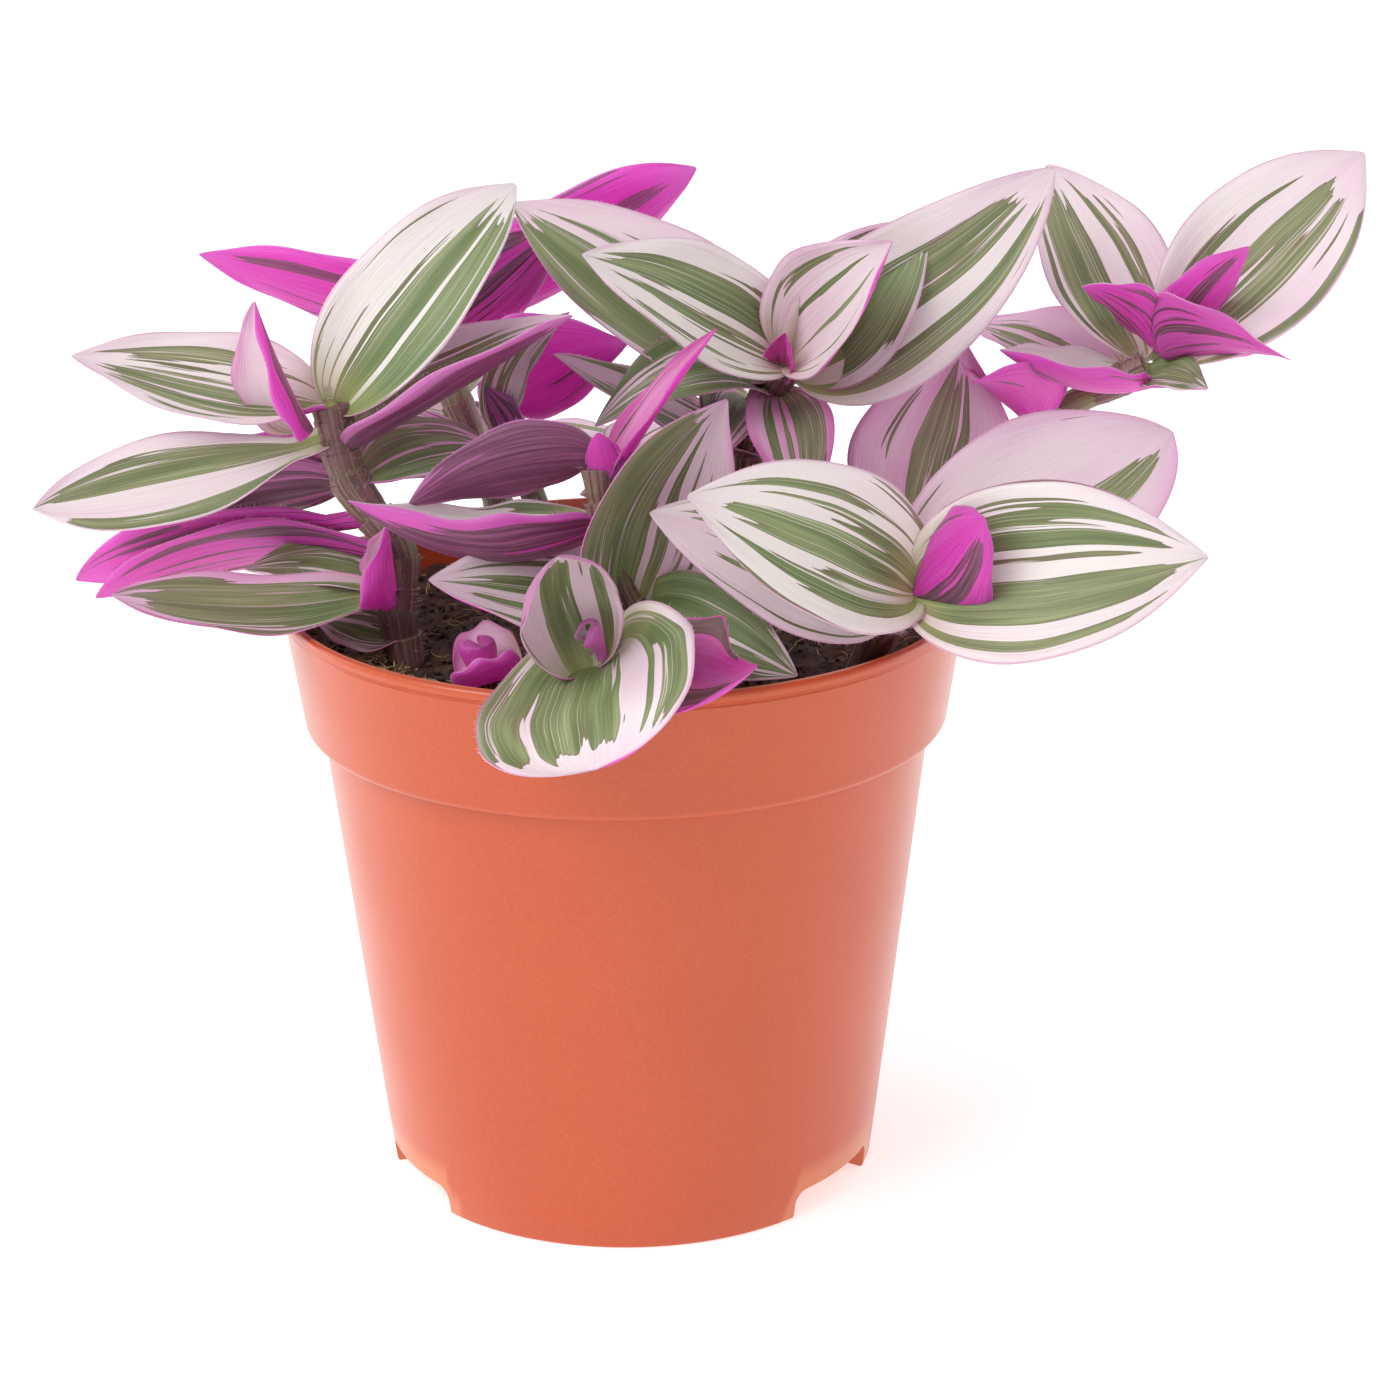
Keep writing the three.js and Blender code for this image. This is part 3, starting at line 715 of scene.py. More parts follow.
class LeafPattern(SharedGroup):
    """The stripes of a leaf, which its upper side, underside and margin share.

    The pattern follows the leaf's own map, x from edge to edge and y from base to tip. The attribute
    leaf_look holds the share of green, the blush of the pale parts, the vividness of the underside and
    a seed; leaf_band holds the middle and half-width of two broad green bands.
    """

    NAME = "leaf_pattern"
    INPUTS = {"Map": "Vector", "Look": "Vector", "Seed": "Float", "Band": "Vector", "Second half": "Float"}
    OUTPUTS = ("Green", "Rim", "Streak", "Tone", "Blush", "Margin", "Base", "Ribs", "Vivid")

    @classmethod
    def draw(cls, wire: Wiring, *given: Socket) -> Inputs:
        """Draws the stripes.

        Args:
            wire: the group's wiring.
            given: the sockets of its inputs.

        Returns:
            The group's outputs by name.
        """
        leaf_map, look, seed, band, second_half = given
        x, along, _ = wire.split(leaf_map)
        green, blush, vivid = wire.split(look)
        first, first_half, second = wire.split(band)
        seed = wire.times(seed, 40.0)
        wobble = wire.noise(wire.vector(wire.times(along, 2.5), seed, 0.5), 1.0, 1.0)
        straight = wire.total(wire.times(x, 2.0), -1.0)
        across = wire.total(straight, wire.times(wire.less(wobble, 0.5), 0.12))

        def lines(width: float, length: float, shift: float, detail: float = 0.0) -> Socket:
            """Lengthwise noise: how fast it changes across and along the leaf."""
            place = wire.vector(wire.times(across, width), wire.times(along, length), wire.total(seed, shift))
            return wire.noise(place, 1.0, detail)

        def belt(middle: Socket, half: Socket) -> Socket:
            """How far inside a broad band each place lies."""
            away = wire.math("ABSOLUTE", wire.less(across, middle))
            share = wire.math("DIVIDE", away, wire.math("MAXIMUM", half, 0.001))
            return wire.times(wire.step(share, 0.62, 1.15, 1.0, 0.0), wire.step(half, 0.0, 0.05))

        belts = wire.math("MAXIMUM", belt(first, first_half), belt(second, second_half))
        belts = wire.times(belts, wire.step(along, 0.8, 0.97, 1.0, 0.1))
        side = wire.math("ABSOLUTE", across)
        tipward = wire.step(along, 0.7, 1.0)
        stripes = wire.total(
            wire.times(lines(2.6, 0.55, 0.0), 0.5), lines(7.5, 0.9, 3.0),
            wire.times(lines(26.0, 1.9, 7.0), 0.25), -0.375, wire.times(belts, 0.48),
            wire.times(wire.step(side, 0.84, 1.0), -0.08), wire.times(tipward, -0.2))
        bar = wire.math("MULTIPLY_ADD", green, -0.5, 0.80)
        inside = wire.step(stripes, bar, wire.total(bar, 0.014))
        thread = wire.math("ABSOLUTE", wire.less(lines(13.0, 0.35, 41.0), 0.5))
        somewhere = wire.step(lines(3.0, 1.2, 47.0), 0.42, 0.5)
        gap = wire.times(wire.step(thread, 0.006, 0.016, 1.0, 0.0), somewhere)
        cloud = wire.times(wire.less(lines(1.4, 1.6, 19.0, 2.0), 0.5), 0.55)
        return {
            "Green": wire.times(inside, wire.math("MULTIPLY_ADD", gap, -0.8, 1.0)),
            "Rim": wire.step(stripes, bar, wire.total(bar, 0.10), 1.0, 0.0),
            "Streak": wire.step(lines(38.0, 2.2, 11.0, 2.0), 0.32, 0.68),
            "Tone": wire.step(lines(5.0, 1.4, 13.0, 1.0), 0.34, 0.66),
            "Blush": wire.total(
                blush, cloud, wire.times(wire.step(side, 0.7, 1.0), 0.10), wire.times(tipward, 0.10)),
            "Margin": wire.step(wire.math("ABSOLUTE", straight), 0.965, 0.99),
            "Base": wire.step(along, 0.0, 0.24, 1.0, 0.0),
            "Ribs": wire.total(lines(15.0, 0.6, 23.0, 2.0), wire.times(lines(60.0, 5.0, 29.0), 0.35)),
            "Vivid": vivid,
        }

    @classmethod
    def on_leaf(cls, wire: Wiring) -> dict[str, Socket]:
        """Puts the group into a material and joins it to the leaf's map and attributes.

        Args:
            wire: the material's wiring.

        Returns:
            The group's outputs by name.
        """
        leaf_map = wire.node("UVMap", uv_map=LeafBlank.MAP).outputs[0]
        look, seed = (wire.attribute(LeafBlank.LOOK, output) for output in ("Vector", "Alpha"))
        band, half = (wire.attribute(LeafBlank.BAND, output) for output in ("Vector", "Alpha"))
        return cls.place(wire, leaf_map, look, seed, band, half)


@dataclass(frozen=True)
class LeafFinish(Finish):
    """What the two sides and the margin of a leaf have in common."""

    roughness: float = 0.42
    glow: float = 0.22
    glow_depth: Point = (0.0035, 0.0014, 0.0026)
    sheen: float = 0.08
    sheen_roughness: float = 0.4

    def colour(self, wire: Wiring, seen: dict[str, Socket]) -> Socket:
        """The surface's colour, from the wiring and the pattern's outputs."""
        raise NotImplementedError

    def inputs(self, wire: Wiring) -> Inputs:
        """The shader's inputs: satin cells, ribs and a little light that passes through.

        Args:
            wire: the material's wiring.

        Returns:
            Sockets or values by name.
        """
        seen = LeafPattern.on_leaf(wire)
        _, speck, height = Grain.on_piece(wire, 120.0, 3200.0)
        return {
            "Base Color": self.colour(wire, seen),
            "Roughness": wire.total(self.roughness, wire.times(speck, 0.14)),
            "Normal": wire.bump(wire.total(seen["Ribs"], wire.times(height, 0.12)), 0.5, 0.0005),
            "Subsurface Weight": self.glow,
            "Subsurface Radius": self.glow_depth,
            "Subsurface Scale": 1.0,
            "Sheen Weight": self.sheen,
            "Sheen Roughness": self.sheen_roughness,
        }


@dataclass(frozen=True)
class LeafUpper(LeafFinish):
    """The upper side: cream to pink, with sage, green and olive stripes."""

    NAME = "leaf_upper"
    blushes: tuple[Colour, ...] = (srgb(240, 232, 224), srgb(240, 222, 226), srgb(234, 196, 216),
                                   srgb(226, 138, 194), srgb(206, 60, 160))
    vein: Colour = srgb(206, 184, 184)
    sage: Colour = srgb(142, 160, 106)
    green: Colour = srgb(104, 132, 72)
    deep: Colour = srgb(66, 88, 50)
    olive: Colour = srgb(108, 100, 68)
    wine: Colour = srgb(104, 58, 78)
    lime: Colour = srgb(186, 190, 116)
    edge: Colour = srgb(206, 96, 164)

    def colour(self, wire: Wiring, seen: dict[str, Socket]) -> Socket:
        """The colour of the upper side.

        Args:
            wire: the material's wiring.
            seen: the pattern's outputs.

        Returns:
            The colour's socket.
        """
        pale = wire.ramp(seen["Blush"], self.blushes)
        pale = wire.mix(wire.times(seen["Streak"], 0.08), pale, self.vein)
        stripe = wire.mix(seen["Tone"], self.green, self.sage)
        stripe = wire.mix(wire.times(seen["Streak"], 0.45), stripe, self.deep)
        stripe = wire.mix(wire.times(seen["Rim"], 0.7), stripe, self.olive)
        stripe = wire.mix(wire.step(seen["Blush"], 0.5, 1.0, 0.0, 0.75), stripe, self.wine)
        colour = wire.mix(seen["Green"], pale, stripe)
        colour = wire.mix(wire.times(seen["Base"], 0.55), colour, self.lime)
        return wire.mix(wire.times(seen["Margin"], 0.4), colour, self.edge)


@dataclass(frozen=True)
class LeafUnder(LeafFinish):
    """The underside: magenta between purple-brown stripes."""

    NAME = "leaf_under"
    glow: float = 0.6
    magentas: tuple[Colour, ...] = (srgb(164, 118, 140), srgb(194, 84, 162), srgb(214, 44, 168))
    vein: Colour = srgb(240, 150, 214)
    brown: Colour = srgb(84, 44, 62)
    mauve: Colour = srgb(130, 84, 112)
    edge: Colour = srgb(226, 110, 190)

    def colour(self, wire: Wiring, seen: dict[str, Socket]) -> Socket:
        """The colour of the underside.

        Args:
            wire: the material's wiring.
            seen: the pattern's outputs.

        Returns:
            The colour's socket.
        """
        pale = wire.ramp(seen["Vivid"], self.magentas)
        pale = wire.mix(wire.times(seen["Streak"], 0.16), pale, self.vein)
        colour = wire.mix(seen["Green"], pale, wire.mix(seen["Streak"], self.brown, self.mauve))
        return wire.mix(wire.times(seen["Margin"], 0.6), colour, self.edge)


@dataclass(frozen=True)
class LeafMargin(LeafFinish):
    """The thin rim of the blade, pale to magenta."""

    NAME = "leaf_margin"
    pale: Colour = srgb(238, 206, 222)
    deep: Colour = srgb(206, 66, 156)

    def colour(self, wire: Wiring, seen: dict[str, Socket]) -> Socket:
        """The colour of the rim."""
        return wire.mix(wire.times(seen["Blush"], 1.2), self.pale, self.deep)


@dataclass(frozen=True)
class PaleFloor(Finish):
    """A plain pale studio floor with a faint unevenness."""

    NAME = "studio_floor"
    tone: Colour = srgb(225, 225, 225)
    uneven: Colour = srgb(220, 220, 220)
    white: Colour = (1.0, 1.0, 1.0, 1.0)
    glow: float = 0.54
    roughness: float = 0.9

    def inputs(self, wire: Wiring) -> Inputs:
        """The shader's inputs.

        Args:
            wire: the material's wiring.

        Returns:
            Sockets or values by name.
        """
        mottle, _, _ = Grain.on_piece(wire, 3.0, 60.0)
        return {
            "Base Color": wire.mix(wire.times(mottle, 0.1), self.tone, self.uneven),
            "Emission Color": self.white,
            "Emission Strength": self.glow,
            "Roughness": self.roughness,
        }


# ---------------------------------------------------------------- the pot


@dataclass
class Pot:
    """A moulded nursery pot: rolled lip, stepped collar, tapered wall, raised floor and three broad feet."""

    axis: Vector
    height: float = 106.0
    rim_radius: float = 60.0
    lip_edge: float = 0.9
    lip_drop: float = 2.0
    lip_groove: float = 0.12
    collar_top: float = 59.3
    collar_bottom: float = 56.5
    collar_z: float = 83.3
    collar_edge: float = 1.7
    collar_fillet: float = 0.35
    body_top: float = 53.4
    base_radius: float = 43.5
    wall: float = 1.2
    recess_radius: float = 38.5
    recess_edge: tuple[float, float] = (1.0, 0.6)
    foot_height: float = 5.2
    foot_edge: float = 0.6
    foot_round: float = 0.25
    foot_draft: float = 0.8
    notch_count: int = 3
    notch_width: float = 24.0
    notch_corner: float = 2.4
    notch_start: float = 23.0
    cutter_drop: float = 10.0  # how far a cutter hangs below the ground
    drain_count: int = 6
    drain_ring: float = 25.0
    drain_radius: float = 3.2
    edge_bevel: float = 0.35
    bevel_angle: float = 55.0
    smooth_angle: float = 32.0
    segments: int = 128
    wall_steps: int = 14
    collar_steps: int = 5
    arc_steps: int = 8
    cap_radius: float = 8.0

    def body_radius(self, z: float) -> float:
        """The outer radius of the tapered wall at a height."""
        return self.base_radius + (self.body_top - self.base_radius) * z / self.collar_z

    def profile(self, inset: float, top: float) -> Outline:
        """The turned outline from the underside's middle to the top's.

        Args:
            inset: how far it is drawn in: 0 for the outside, the wall for the hollow.
            top: the height of its top.

        Returns:
            Radius and height of each ring.
        """
        foot = self.recess_radius + self.foot_draft + inset
        corner = 0.3 * self.foot_edge
        drawn = [
            (self.cap_radius, self.foot_height + inset),
            (self.recess_radius - self.recess_edge[0] + inset, self.foot_height + inset),
            (self.recess_radius + inset, self.foot_height - self.recess_edge[1] + inset),
            (foot, self.foot_round + inset),
            (foot + self.foot_round, inset),
            (self.base_radius - self.foot_edge - inset, inset),
            (self.base_radius - corner - inset, inset + corner),
            (self.base_radius - inset, inset + self.foot_edge),
        ]
        for z in np.linspace(self.foot_edge, self.collar_z - 0.4, self.wall_steps + 1)[1:]:
            drawn.append((self.body_radius(z) - inset, z + inset))
        drawn.append((self.body_radius(self.collar_z) + self.collar_fillet - inset, self.collar_z + inset))
        centre = (self.collar_bottom - self.collar_edge - inset, self.collar_z + self.collar_edge + inset)
        drawn += arc(centre, self.collar_edge, -90, 0, self.arc_steps)
        low, high = centre[1], self.height - self.lip_drop - 0.7
        for share in np.linspace(0, 1, self.collar_steps + 1)[1:]:
            radius = self.collar_bottom + (self.collar_top - self.collar_bottom) * share
            drawn.append((radius - inset, low + (high - low) * share))
        if inset > 0:
            mouth = self.collar_top - inset
            return drawn + [(mouth, self.height - 0.8), (mouth + 0.5, self.height + 0.1),
                            (mouth + 0.6, top), (self.cap_radius, top)]
        groove = self.collar_top - self.lip_groove
        # a hairline groove under the lip, and then the lip
        drawn += [(groove, high + 0.25), (groove, high + 0.5), (self.collar_top + 0.1, high + 0.75),
                  (self.rim_radius - 0.06, self.height - self.lip_drop + 0.4)]
        middle = (self.rim_radius - self.lip_edge, self.height - self.lip_edge)
        return drawn + arc(middle, self.lip_edge, -10, 90, self.arc_steps) + [(self.cap_radius, top)]

    def turned(self, profile: Outline, name: str) -> Piece:
        """A closed body of rings, each drawn out of the one before.

        Args:
            profile: radius and height of each ring, from the bottom's middle to the top's.
            name: the body's name.

        Returns:
            The body, in metres about the origin.
        """
        radius, z = profile[0]
        body = primitive(bpy.ops.mesh.primitive_circle_add, vertices=self.segments, radius=radius * MM,
                         fill_type="NGON", location=(0, 0, z * MM))
        body.name = name
        bpy.ops.object.mode_set(mode="EDIT")
        bpy.ops.mesh.select_all(action="SELECT")
        bpy.ops.mesh.select_mode(type="FACE")
        for wide, high in profile[1:]:
            bpy.ops.mesh.extrude_region_move(TRANSFORM_OT_translate={"value": (0, 0, (high - z) * MM)})
            if abs(wide - radius) > 1e-6:
                grow = wide / radius
                bpy.ops.transform.resize(value=(grow, grow, 1), center_override=(0, 0, high * MM))
            radius, z = wide, high
        bpy.ops.mesh.select_all(action="SELECT")
        bpy.ops.mesh.normals_make_consistent(inside=False)
        bpy.ops.object.mode_set(mode="OBJECT")
        return body

    def notch_cutters(self, margin: float) -> Piece:
        """The three rounded blocks that leave the notches between the feet.

        Args:
            margin: how much bigger they are all round.

        Returns:
            One object of three blocks.
        """
        wide = self.notch_width + 2 * margin
        top = self.foot_height + margin
        reach = 2 * self.base_radius
        out, up = self.notch_start + reach / 2, (top - self.cutter_drop) / 2
        blocks = []
        for i in range(self.notch_count):
            turn = (i + 0.5) * math.tau / self.notch_count - math.pi / 2
            block = primitive(
                bpy.ops.mesh.primitive_cube_add, size=1, rotation=(0, 0, turn),
                location=Matrix.Rotation(turn, 4, "Z") @ Vector((out * MM, 0, up * MM)),
                scale=(reach * MM, wide * MM, (top + self.cutter_drop) * MM))
            corner = (self.notch_corner + margin) * MM
            finish_modifier(block, "BEVEL", width=corner, segments=6, limit_method="ANGLE")
            blocks.append(block)
        return joined(blocks, "notch_cutters")

    def cut(self, body: Piece, tool: Piece) -> None:
        """Cuts a tool out of a body and removes the tool."""
        finish_modifier(body, "BOOLEAN", object=tool, operation="DIFFERENCE", solver="EXACT")
        bpy.data.objects.remove(tool)

    def build(self, finish: Material) -> None:
        """Builds the pot.

        Args:
            finish: its plastic.
        """
        shell = self.turned(self.profile(0.0, self.height), "pot_shell")
        hollow = self.turned(self.profile(self.wall, self.height + 2), "pot_hollow")
        self.cut(shell, self.notch_cutters(0.0))
        self.cut(hollow, self.notch_cutters(self.wall))
        self.cut(shell, hollow)
        for i in range(self.drain_count):
            angle = i * math.tau / self.drain_count
            place = (self.drain_ring * math.cos(angle), self.drain_ring * math.sin(angle), self.foot_height)
            self.cut(shell, primitive(
                bpy.ops.mesh.primitive_cylinder_add, vertices=24, radius=self.drain_radius * MM,
                depth=5 * self.wall * MM, location=Vector(place) * MM))
        finish_modifier(shell, "BEVEL", width=self.edge_bevel * MM, segments=2, limit_method="ANGLE",
                        angle_limit=math.radians(self.bevel_angle))
        dress(shell, self.axis, finish)
        smooth(shell, self.smooth_angle)
        hand_over(shell, Slot.POT, "pot")


# ---------------------------------------------------------------- the soil


@dataclass
class PeatBed:
    """The plug of peat, its crumbly top, loose crumbs and dry fibres."""

    axis: Vector
    pot: Pot
    level: float = 97.0
    gap: float = 0.3
    floor: float = 6.9
    roughness: float = 1.5  # how high the crumbly top stands up
    crumbs: int = 2600
    fibres: int = 588
    bare_side: tuple[float, float] = (195, 262)  # where the peat is bare, in degrees round the pot
    rings: int = 40
    smooth_angle: float = 50.0
    seed: int = 11
    lumps: tuple[tuple[float, float, float, float], ...] = ((0.7, 0.31, 0.27, 1.3), (0.5, -0.41, 0.53, 0.0))

    def inner_radius(self, z: float) -> float:
        """The radius of the soil at a height above the collar's lower edge.

        Args:
            z: the height.

        Returns:
            The radius.
        """
        share = (z - self.pot.collar_z) / (self.pot.height - self.pot.collar_z)
        outside = self.pot.collar_bottom + (self.pot.collar_top - self.pot.collar_bottom) * share
        return outside - self.pot.wall - self.gap

    def height(self, x: float, y: float) -> float:
        """The height of the surface over a point, without its crumbs."""
        waves = (h * math.sin(kx * x + ky * y + phase) for h, kx, ky, phase in self.lumps)
        return self.level + sum(waves)

    def plug(self) -> Piece:
        """The plug with its uneven top.

        Returns:
            The closed mesh.
        """
        pot, inset = self.pot, self.pot.wall + self.gap
        edge = self.inner_radius(self.level)
        step_z = pot.collar_z + inset
        profile = [(pot.cap_radius, self.floor), (pot.body_radius(self.floor) - inset - 0.4, self.floor),
                   (pot.body_radius(pot.collar_z) - inset, step_z),
                   (pot.collar_bottom - pot.collar_edge - inset, step_z),
                   (self.inner_radius(pot.collar_z + 3.0), pot.collar_z + 3.5), (edge, self.level - 1.5)]
        profile += [(edge * (1 - i / self.rings) + 0.4, self.level) for i in range(self.rings)]
        body = pot.turned(profile, "soil_bed")
        places = points_of(body) / MM
        for i in np.nonzero(places[:, 2] > self.level - 1e-3)[0]:
            x, y, _ = places[i]
            rough = noise.fractal(Vector((x * 0.35, y * 0.35, 3.0)), 0.9, 2.1, 4)
            places[i, 2] = self.height(x, y) + rough * self.roughness
        set_points(body, places * MM)
        return body

    def crumb_places(self, rng: random.Random) -> list[Matrix]:
        """Where the loose crumbs lie.

        Args:
            rng: the seeded source of chance.

        Returns:
            A place for each crumb.
        """
        places = []
        edge = self.inner_radius(self.level) - 0.9
        for _ in range(self.crumbs):
            radius, angle = edge * math.sqrt(rng.random()), rng.random() * math.tau
            x, y = radius * math.cos(angle), radius * math.sin(angle)
            size = 0.35 + 0.9 * rng.random() ** 3
            z = self.height(x, y) + 0.15 * size + rng.uniform(-0.3, 0.5)
            pole = Vector((rng.random(), rng.random(), rng.random() + 0.1))
            turn = Matrix.Rotation(rng.uniform(0, math.tau), 3, pole)
            wide, deep = size * rng.uniform(0.5, 0.9), size * rng.uniform(0.45, 0.8)
            places.append(placed(Vector((x, y, z)), turn, (size, wide, deep)))
        return places

    def fibre_blank(self) -> Piece:
        """A thin bent fibre, 1 long, made from a slim cylinder.

        Returns:
            The blank.
        """
        fibre = primitive(bpy.ops.mesh.primitive_cylinder_add, vertices=4, radius=0.5, depth=1.0)
        cut_lengthwise(fibre, 5)
        places = points_of(fibre)
        bow = (places[:, 2] * 2) ** 2
        slim = 0.05 * (1 - 0.6 * bow)
        places[:, 0] = places[:, 0] * slim + 0.18 * bow
        places[:, 1] = places[:, 1] * slim + 0.05 * places[:, 2] ** 3
        set_points(fibre, places)
        return fibre

    def fibre_places(self, rng: random.Random) -> list[Matrix]:
        """Where the fibres lie: half of them where the peat is bare.

        Args:
            rng: the seeded source of chance.

        Returns:
            A place for each fibre.
        """
        places = []
        edge = self.inner_radius(self.level) - 2.0
        for i in range(self.fibres):
            radius, angle = edge * math.sqrt(rng.random()), rng.random() * math.tau
            if i % 2:
                radius, angle = edge * rng.uniform(0.78, 0.99), math.radians(rng.uniform(*self.bare_side))
            x, y = radius * math.cos(angle), radius * math.sin(angle)
            length = rng.uniform(1.6, 5.5)
            thick = 1.6 * rng.uniform(1.2, 2.8)
            z = self.height(x, y) + rng.uniform(0.3, 1.5)
            turn = Matrix.Rotation(rng.random() * math.tau, 3, "Z")
            turn = turn @ Matrix.Rotation(rng.uniform(1.1, 1.9), 3, "X")
            turn = turn @ Matrix.Rotation(rng.random() * math.tau, 3, "Z")
            places.append(placed(Vector((x, y, z)), turn, (thick, thick, length)))
        return places

    def build(self, peat: Material, fibre: Material) -> None:
        """Builds the bed, the crumbs and the fibres.

        Args:
            peat: the finish of the bed and the crumbs.
            fibre: the finish of the fibres.
        """
        rng = random.Random(self.seed)
        bed = self.plug()
        crumb = primitive(bpy.ops.mesh.primitive_ico_sphere_add, subdivisions=1, radius=1.0)
        crumbs = scattered(crumb, self.crumb_places(rng), "soil_crumbs")
        blank = self.fibre_blank()
        fibres = scattered(blank, self.fibre_places(rng), "soil_fibres")
        for spare in (crumb, blank):
            bpy.data.objects.remove(spare)
        for piece, finish, nodes in ((bed, peat, ["soil"]), (crumbs, peat, []), (fibres, fibre, [])):
            dress(piece, self.axis, finish)
            smooth(piece, self.smooth_angle)
            hand_over(piece, Slot.SOIL, *nodes)


# ---------------------------------------------------------------- leaves and stems


@dataclass
class Leaf:
    """One leaf: where it runs, how it bends and how it is striped."""

    base: Point
    tip: Point
    width: float
    face: Point
    bow: float = 0.0
    cup: float = 25.0
    sway: float = 0.0
    via: Point | None = None
    outline: tuple[float, float] = (0.6, 0.85)
    green: float = 0.5
    blush: float = 0.5
    vivid: float = 1.0
    band: tuple[float, float] = (0.0, 0.0)
    belt: tuple[float, float] = (0.0, 0.0)

    @property
    def length(self) -> float:
        """The straight way from base to tip."""
        return math.dist(self.base, self.tip)


class LeafBlank:
    """A flat sheet that is modelled once and bent into each leaf."""

    MAP = "leaf_map"
    LOOK = "leaf_look"
    BAND = "leaf_band"
    ROWS = 44
    COLUMNS = 18
    CLASP = 3.6  # half-width where the leaf wraps its stem
    CLASP_CUP = 100.0  # how far it wraps, in degrees to each side
    CLASP_FADE = 6
    PULL = 0.45  # share of the length at which the midrib is pulled and the leaf faces its way
    EDGE_WAVE = 0.5
    ROUND_TIP = 0.45  # a leaf whose outline falls less steeply keeps a round tip
    TIP_SLOPE = 1.15
    TIP_BLEND = -5.0
    GROOVE = -0.3
    PLEAT = 0.06
    FULL_HALF_WIDTH = 6.0  # grooves and pleats are shallower where the leaf is narrower
    THICKNESS = 0.5
    HAIRS_PER_MM = 2.4
    HAIR_RADIUS = 0.028

    def __init__(self) -> None:
        """Models the flat sheet: a grid with its map, with closer rows towards the base and the tip."""
        self.sheet = primitive(
            bpy.ops.mesh.primitive_grid_add, x_subdivisions=self.COLUMNS, y_subdivisions=self.ROWS, size=2)
        self.sheet.data.uv_layers[0].name = self.MAP
        flat = points_of(self.sheet)
        self.across = flat[:, 0]
        self.along = (1 - np.cos(np.pi * np.clip((flat[:, 1] + 1) / 2, 0, 1))) / 2
        corners = np.array([loop.vertex_index for loop in self.sheet.data.loops])
        flat_map = np.c_[(self.across[corners] + 1) / 2, self.along[corners]]
        self.sheet.data.uv_layers[0].uv.foreach_set("vector", flat_map.astype(np.float32).ravel())
        body = self.sheet.vertex_groups.new(name="thick")
        for i, (s, u) in enumerate(zip(self.across, self.along)):
            edge = max(abs(s), u if u > 0.5 else 0.0)
            body.add([i], float(np.interp(edge, [0.0, 0.8, 1.0], [1.0, 0.8, 0.35])), "REPLACE")

    def frames(self, leaf: Leaf, shares: Rows) -> tuple[Rows, Rows, Rows]:
        """The midrib's points, and the tangent and upward normal along it.

        Args:
            leaf: the leaf.
            shares: shares of its length, in order.

        Returns:
            Points, tangents and normals, one row for each share.
        """
        base, tip, face = (np.array(v, float) for v in (leaf.base, leaf.tip, leaf.face))
        chord = tip - base
        along = unit(chord)
        up = unit(face - along * (face @ along))
        middle = base + self.PULL * chord
        middle += (up * (2 * leaf.bow) + np.cross(along, up) * leaf.sway) * leaf.length
        if leaf.via is not None:
            middle = np.array(leaf.via, float)
        u = shares[:, None]
        points = (1 - u) ** 2 * base + 2 * u * (1 - u) * middle + u * u * tip
        tangents = 2 * (1 - u) * (middle - base) + 2 * u * (tip - middle)
        tangents /= np.linalg.norm(tangents, axis=1)[:, None]
        normals = np.empty_like(points)
        home = int(round((len(shares) - 1) * self.PULL))
        normals[home] = unit(face - tangents[home] * (face @ tangents[home]))
        for order, step in ((range(home + 1, len(shares)), -1), (range(home - 1, -1, -1), 1)):
            for i in order:
                before = normals[i + step]
                normals[i] = unit(before - tangents[i] * (before @ tangents[i]))
        return points, tangents, normals

    def half_width(self, leaf: Leaf, u: Rows) -> Rows:
        """Half the leaf's width at shares of its length.

        Args:
            leaf: the leaf.
            u: shares of its length.

        Returns:
            Half the width at each of them.
        """
        rise, fall = leaf.outline
        peak = rise / (rise + fall)
        inner = np.clip(u, 1e-9, 1.0)
        blade = leaf.width / 2 * (inner / peak) ** rise * ((1 - u) / (1 - peak)) ** fall
        if fall > self.ROUND_TIP:
            point = self.TIP_SLOPE * (1 - u) * leaf.length + 0.3
            blade = np.maximum(blade, 1e-3) ** self.TIP_BLEND + point ** self.TIP_BLEND
            blade **= 1 / self.TIP_BLEND
        return np.maximum(np.maximum(blade, self.CLASP * (1 - u) ** 2), 0.12)

    def bent(self, leaf: Leaf, s: Rows, u: Rows) -> Rows:
        """Points of the leaf's middle surface.

        Args:
            leaf: the leaf.
            s: shares of the half-width, from -1 to 1.
            u: shares of the length, from 0 to 1.

        Returns:
            A point for each pair, in millimetres about the pot's axis.
        """
        rows, which = np.unique(np.round(u, 6), return_inverse=True)
        points, tangents, normals = (values[which] for values in self.frames(leaf, rows))
        half = self.half_width(leaf, u)
        fullness = np.minimum(1, half / self.FULL_HALF_WIDTH)
        bend = np.radians(leaf.cup + max(self.CLASP_CUP - leaf.cup, 0) * (1 - u) ** self.CLASP_FADE)
        wave = self.EDGE_WAVE * np.sin(14 * u + 7 * s + leaf.width) * np.abs(s) ** 3 * np.minimum(1, half / 4)
        groove = self.GROOVE * np.exp(-(s / 0.07) ** 2) * (1 - u) * fullness
        pleats = self.PLEAT * np.sin(s * 26 + leaf.width) * np.sin(np.pi * np.clip(u, 0, 1)) * fullness
        out = half / bend * np.sin(bend * s)
        lift = half / bend * (1 - np.cos(bend * s)) + wave + groove + pleats
        return points + np.cross(tangents, normals) * out[:, None] + normals * lift[:, None]

